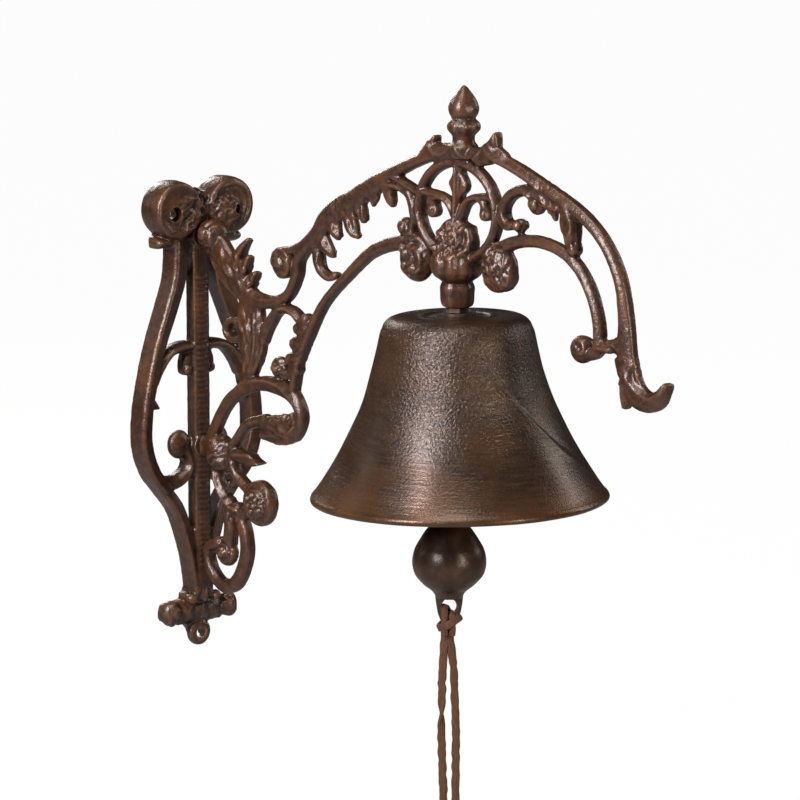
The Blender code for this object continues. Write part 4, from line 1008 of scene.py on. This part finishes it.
def make_bell(surface):
    """The bell: a turned casting with a flattened flank, a crease, a ring on its crown and a rounded lip."""
    crown_top = [(3.4, CROWN_Z + 0.2), (10, CROWN_Z + 0.2), (12.5, CROWN_Z), (15, CROWN_Z - 0.5),
                 (17.2, CROWN_Z - 0.6), (18.8, CROWN_Z + 0.1), (20.4, CROWN_Z + 0.3), (22.5, CROWN_Z - 0.2),
                 (27, CROWN_Z)]
    inner = [(r - BELL_WALL, h - BELL_WALL * 0.45) for r, h in reversed(BELL_OUTLINE[4:-1])]
    inside = [(36, CROWN_Z - 6.5), (33, CROWN_Z - 4.7), (3.4, CROWN_Z - 4.5)]
    profile = np.vstack([dense(crown_top, 1), dense(BELL_OUTLINE, 1.3), dense(BELL_LIP, 0.5),
                         dense(inner, 2), dense(inside, 3)])
    soup = Soup()
    soup.turned(profile, (BELL_X, 0, 0), 288, closed=True)
    mesh = soup.mesh("bell_casting")
    co = get_points(mesh)
    radius = np.hypot(co[:, 0] - BELL_X, co[:, 1])
    degrees = np.degrees(np.arctan2(co[:, 1], co[:, 0] - BELL_X))
    outer = radius > np.interp(co[:, 2], [107, 121, 148.5, 179, 203, 212], [78, 74.5, 59, 47.5, 41.5, 28])
    above = co[:, 2] - np.interp(degrees, *np.transpose(CREASE))
    flank = np.exp(-((degrees - 22) / 26) ** 2) * np.exp(-((co[:, 2] - 176) / 26) ** 2)
    dent = -2.6 * flank * outer * np.clip(above / 8 + 0.6, 0, 1)
    reach = np.exp(-((degrees - 8) / 24) ** 2)
    ridge = 0.55 * np.exp(-((above + 1.5) / 2.4) ** 2) * reach * outer
    groove = -0.45 * np.exp(-((above - 2.5) / 2.6) ** 2) * reach * outer
    wobble = np.array([noise.noise(Vector(p) / 26) for p in co]) * 0.6
    shift = (dent + ridge + groove + wobble * (radius > 20)) / np.maximum(radius, 1)
    co[:, 0] += (co[:, 0] - BELL_X) * shift
    co[:, 1] += co[:, 1] * shift
    set_points(mesh, co)
    mesh.transform(LEAN)
    bell = link("bell_casting", mesh)
    painted(bell, surface, 60)
    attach(bell, "bracket")
    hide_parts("bell")


# ---------------------------------------------------------------- the clapper

# Rod and ball as (radius, height), and the flat lug as (height, width)
BALL = [
    (3.2, 165.8), (3.3, 150), (3.4, 140), (3.8, 120), (4.2, 106), (5.4, 100.5), (9, 95), (13.6, 89.7),
    (17.2, 84), (19.9, 78.8), (21.2, 72), (20, 65.5), (17.2, 61.5), (14, 58.3), (10.4, 55.6), (8.4, 53),
    (7.4, 51),
]
LUG = [(53, 16.4), (49, 15.6), (45, 14.4), (41, 12.6), (37, 9.2), (33.6, 5.6)]

# The thong's two strands through the lug's eye, as places across, through and up it
STRAND = [
    (-2.4, -3.8, 29.5), (-3, -5, 35), (-2.8, -4.8, 40.5), (-2.6, -2.6, 44.6), (-2.2, 0.6, 46),
    (-1.2, 3.4, 44), (0.8, 5, 38.5), (1.4, 4.6, 31.5),
]
FAR_STRAND = [
    (1.8, -3.4, 29.5), (2, -5, 34), (2, -4.8, 38.4), (1.2, -2.6, 41.8), (0.8, 0.8, 42.4), (0.4, 4, 39),
    (-0.6, 5.2, 34.5), (-1.4, 4.4, 30.5),
]


def lug_point(across, through, z):
    """A point by how far it lies across and through the clapper's lug, and its height."""
    return np.array((CLAPPER_X, HOOK_Y, z)) + ACROSS * across + THROUGH * through


def make_clapper(surface):
    """The clapper: eye, rod, pear shaped ball and a flattened loop with an oval eye for the thong."""
    soup = Soup()
    soup.turned([(0.05, 166.4), *dense(BALL, 1.4), (0.05, 50.6)], (CLAPPER_X, HOOK_Y, 0), 64)
    eye = []
    for a in circle(36):
        out = np.array((0, math.cos(a), math.sin(a)))
        middle = np.array((CLAPPER_X, HOOK_Y, EYE_Z)) + out * 6
        eye.append([middle + out * (1.7 * math.cos(b)) + np.array((1.7 * math.sin(b), 0, 0))
                    for b in circle(12)])
    soup.rings(eye, closed=True)
    lug = []
    for z, width in dense(LUG, 0.9):
        depth = np.interp(z, [33, 40, 50, 53], [2.4, 2.9, 3.3, 4.6])
        lug.append([lug_point(blunt(math.cos(a), 0.8) * width / 2, blunt(math.sin(a), 0.8) * depth, z)
                    for a in circle(28)])
    soup.rings(lug)
    clapper = fused("clapper_iron_piece", soup, 0.6, 3)
    hole = Soup()
    hole.rings([[lug_point(4.2 * math.cos(a), depth, 46.2 + 5 * math.sin(a)) for a in circle(32)]
                for depth in (12, -12)])
    cut(clapper, hole)
    modified(clapper, "BEVEL", width=0.35 * MM, segments=2, limit_method="ANGLE",
             angle_limit=math.radians(50))
    waver(clapper.data, 0.1, 7)
    painted(clapper, surface, 60)
    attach(clapper, "clapper")
    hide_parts("clapper")


def make_knot(leather):
    """The thong's hitch: a band round the lug, a strand up through its eye, and the legs' start."""
    band = [lug_point(5.9 * math.cos(a), 5.5 * math.sin(a), 36.6 + 3.4 * math.cos(a))
            for a in circle(14, -2.2) + [math.tau - 2.2]]
    strand = [lug_point(*place) for place in STRAND]
    second = [lug_point(*place) for place in FAR_STRAND]
    first, _ = ribbon("thong_hitch", band, 4.8, 2, (0, 0), leather, 4, across=(0, 0, 1))
    up, _ = ribbon("thong_strand", strand, 3.8, 2, (0, 10, 0), leather, 5)
    down, _ = ribbon("thong_strand_far", second, 3.6, 1.8, (0, -10, 0), leather, 6)
    for piece in (first, up, down):
        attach(piece, "clapper")
    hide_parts("strap_knot")


# ---------------------------------------------------------------- stage

FLOOR_Z = -0.19
FLOOR_HALF = 14

# Area lights as (name, azimuth from the camera's side, elevation, distance, (width, height), power, colour)
LIGHTS = [
    ("key", -40, 27, 1.7, (0.26, 1), 46, (1, 0.93, 0.95)),
    ("side", 42, 9, 1.8, (0.14, 0.7), 14, (1, 0.92, 0.8)),
    ("top", -20, 72, 1.6, (0.7, 0.7), 12, (1, 0.95, 0.93)),
    ("rim", 112, 22, 1.9, (0.4, 1), 7, (1, 0.93, 0.88)),
    ("back", 205, 24, 2.2, (0.7, 1), 20, (1, 0.97, 0.95)),
    ("far_left", -105, 20, 2, (0.5, 1), 2, (1, 0.95, 0.93)),
]


def shown(tree, others, camera, output):
    """Give camera rays one shader and all other rays another."""
    ray = add_node(tree, "LightPath", "Is Camera Ray", {})
    mixed = add_node(tree, "MixShader", "Shader", {"Fac": ray, 1: others, 2: camera})
    tree.links.new(mixed, tree.nodes[output].inputs["Surface"])


def make_floor():
    """A grey floor that the camera sees as near-white."""
    mesh = bpy.data.meshes.new("floor")
    corners = ((-1, -1), (1, -1), (1, 1), (-1, 1))
    mesh.from_pydata([(x * FLOOR_HALF, y * FLOOR_HALF, FLOOR_Z) for x, y in corners], [], [(0, 1, 2, 3)])
    mesh.update()
    floor = link("floor", mesh)
    material = bpy.data.materials.new("floor_paint")
    material.use_nodes = True
    tree = material.node_tree
    shader = tree.nodes["Principled BSDF"]
    shader.inputs["Base Color"].default_value = (0.34, 0.34, 0.34, 1)
    shader.inputs["Roughness"].default_value = 0.9
    grey = shader.outputs["BSDF"]
    glow = add_node(tree, "Emission", "Emission", {"Color": (1, 1, 1, 1), "Strength": 1.05})
    pale = add_node(tree, "MixShader", "Shader", {"Fac": 0.93, 1: grey, 2: glow})
    shown(tree, grey, pale, "Material Output")
    mesh.materials.append(material)


def make_stage(right, ahead, target):
    """The floor, white surroundings that light little, and soft lights."""
    make_floor()
    world = bpy.data.worlds.new("studio")
    bpy.context.scene.world = world
    world.use_nodes = True
    tree = world.node_tree
    background = tree.nodes["Background"]
    background.inputs["Color"].default_value = (0.9, 0.93, 1, 1)
    background.inputs["Strength"].default_value = 0.03
    white = add_node(tree, "Background", "Background", {"Color": (1, 1, 1, 1), "Strength": 1})
    shown(tree, background.outputs["Background"], white, "World Output")

    level = Vector((-ahead.x, -ahead.y, 0)).normalized()
    for name, azimuth, elevation, distance, size, power, color in LIGHTS:
        a, e = math.radians(azimuth), math.radians(elevation)
        way = (level * math.cos(a) + right * math.sin(a)) * math.cos(e) + Vector((0, 0, math.sin(e)))
        data = bpy.data.lights.new(name, "AREA")
        data.shape = "RECTANGLE"
        data.size, data.size_y = size
        data.energy = power
        data.color = color
        lamp = bpy.data.objects.new(name, data)
        bpy.context.scene.collection.objects.link(lamp)
        lamp.location = target + way * distance
        lamp.rotation_mode = "QUATERNION"
        lamp.rotation_quaternion = (-way).to_track_quat("-Z", "Y")
    bpy.context.scene.view_settings.view_transform = "Standard"


# ---------------------------------------------------------------- everything

RIGHT, AHEAD, TARGET = make_camera()
LEATHER = thong_leather()
make_legs(LEATHER)
IRON = cast_iron()
STEEL = fixing_steel()
make_arm(IRON)
make_plate(IRON)
make_bell(bell_metal())
make_clapper(dark_iron())
make_knot(LEATHER)
for node in ("arm_screw_upper", "arm_screw_lower", "hook_bolt", "lock_nut", "crown_washer", "inside_washer",
             "inside_nut", "clapper_link"):
    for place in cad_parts[node].material_slots:
        place.material = STEEL
make_stage(RIGHT, AHEAD, TARGET)
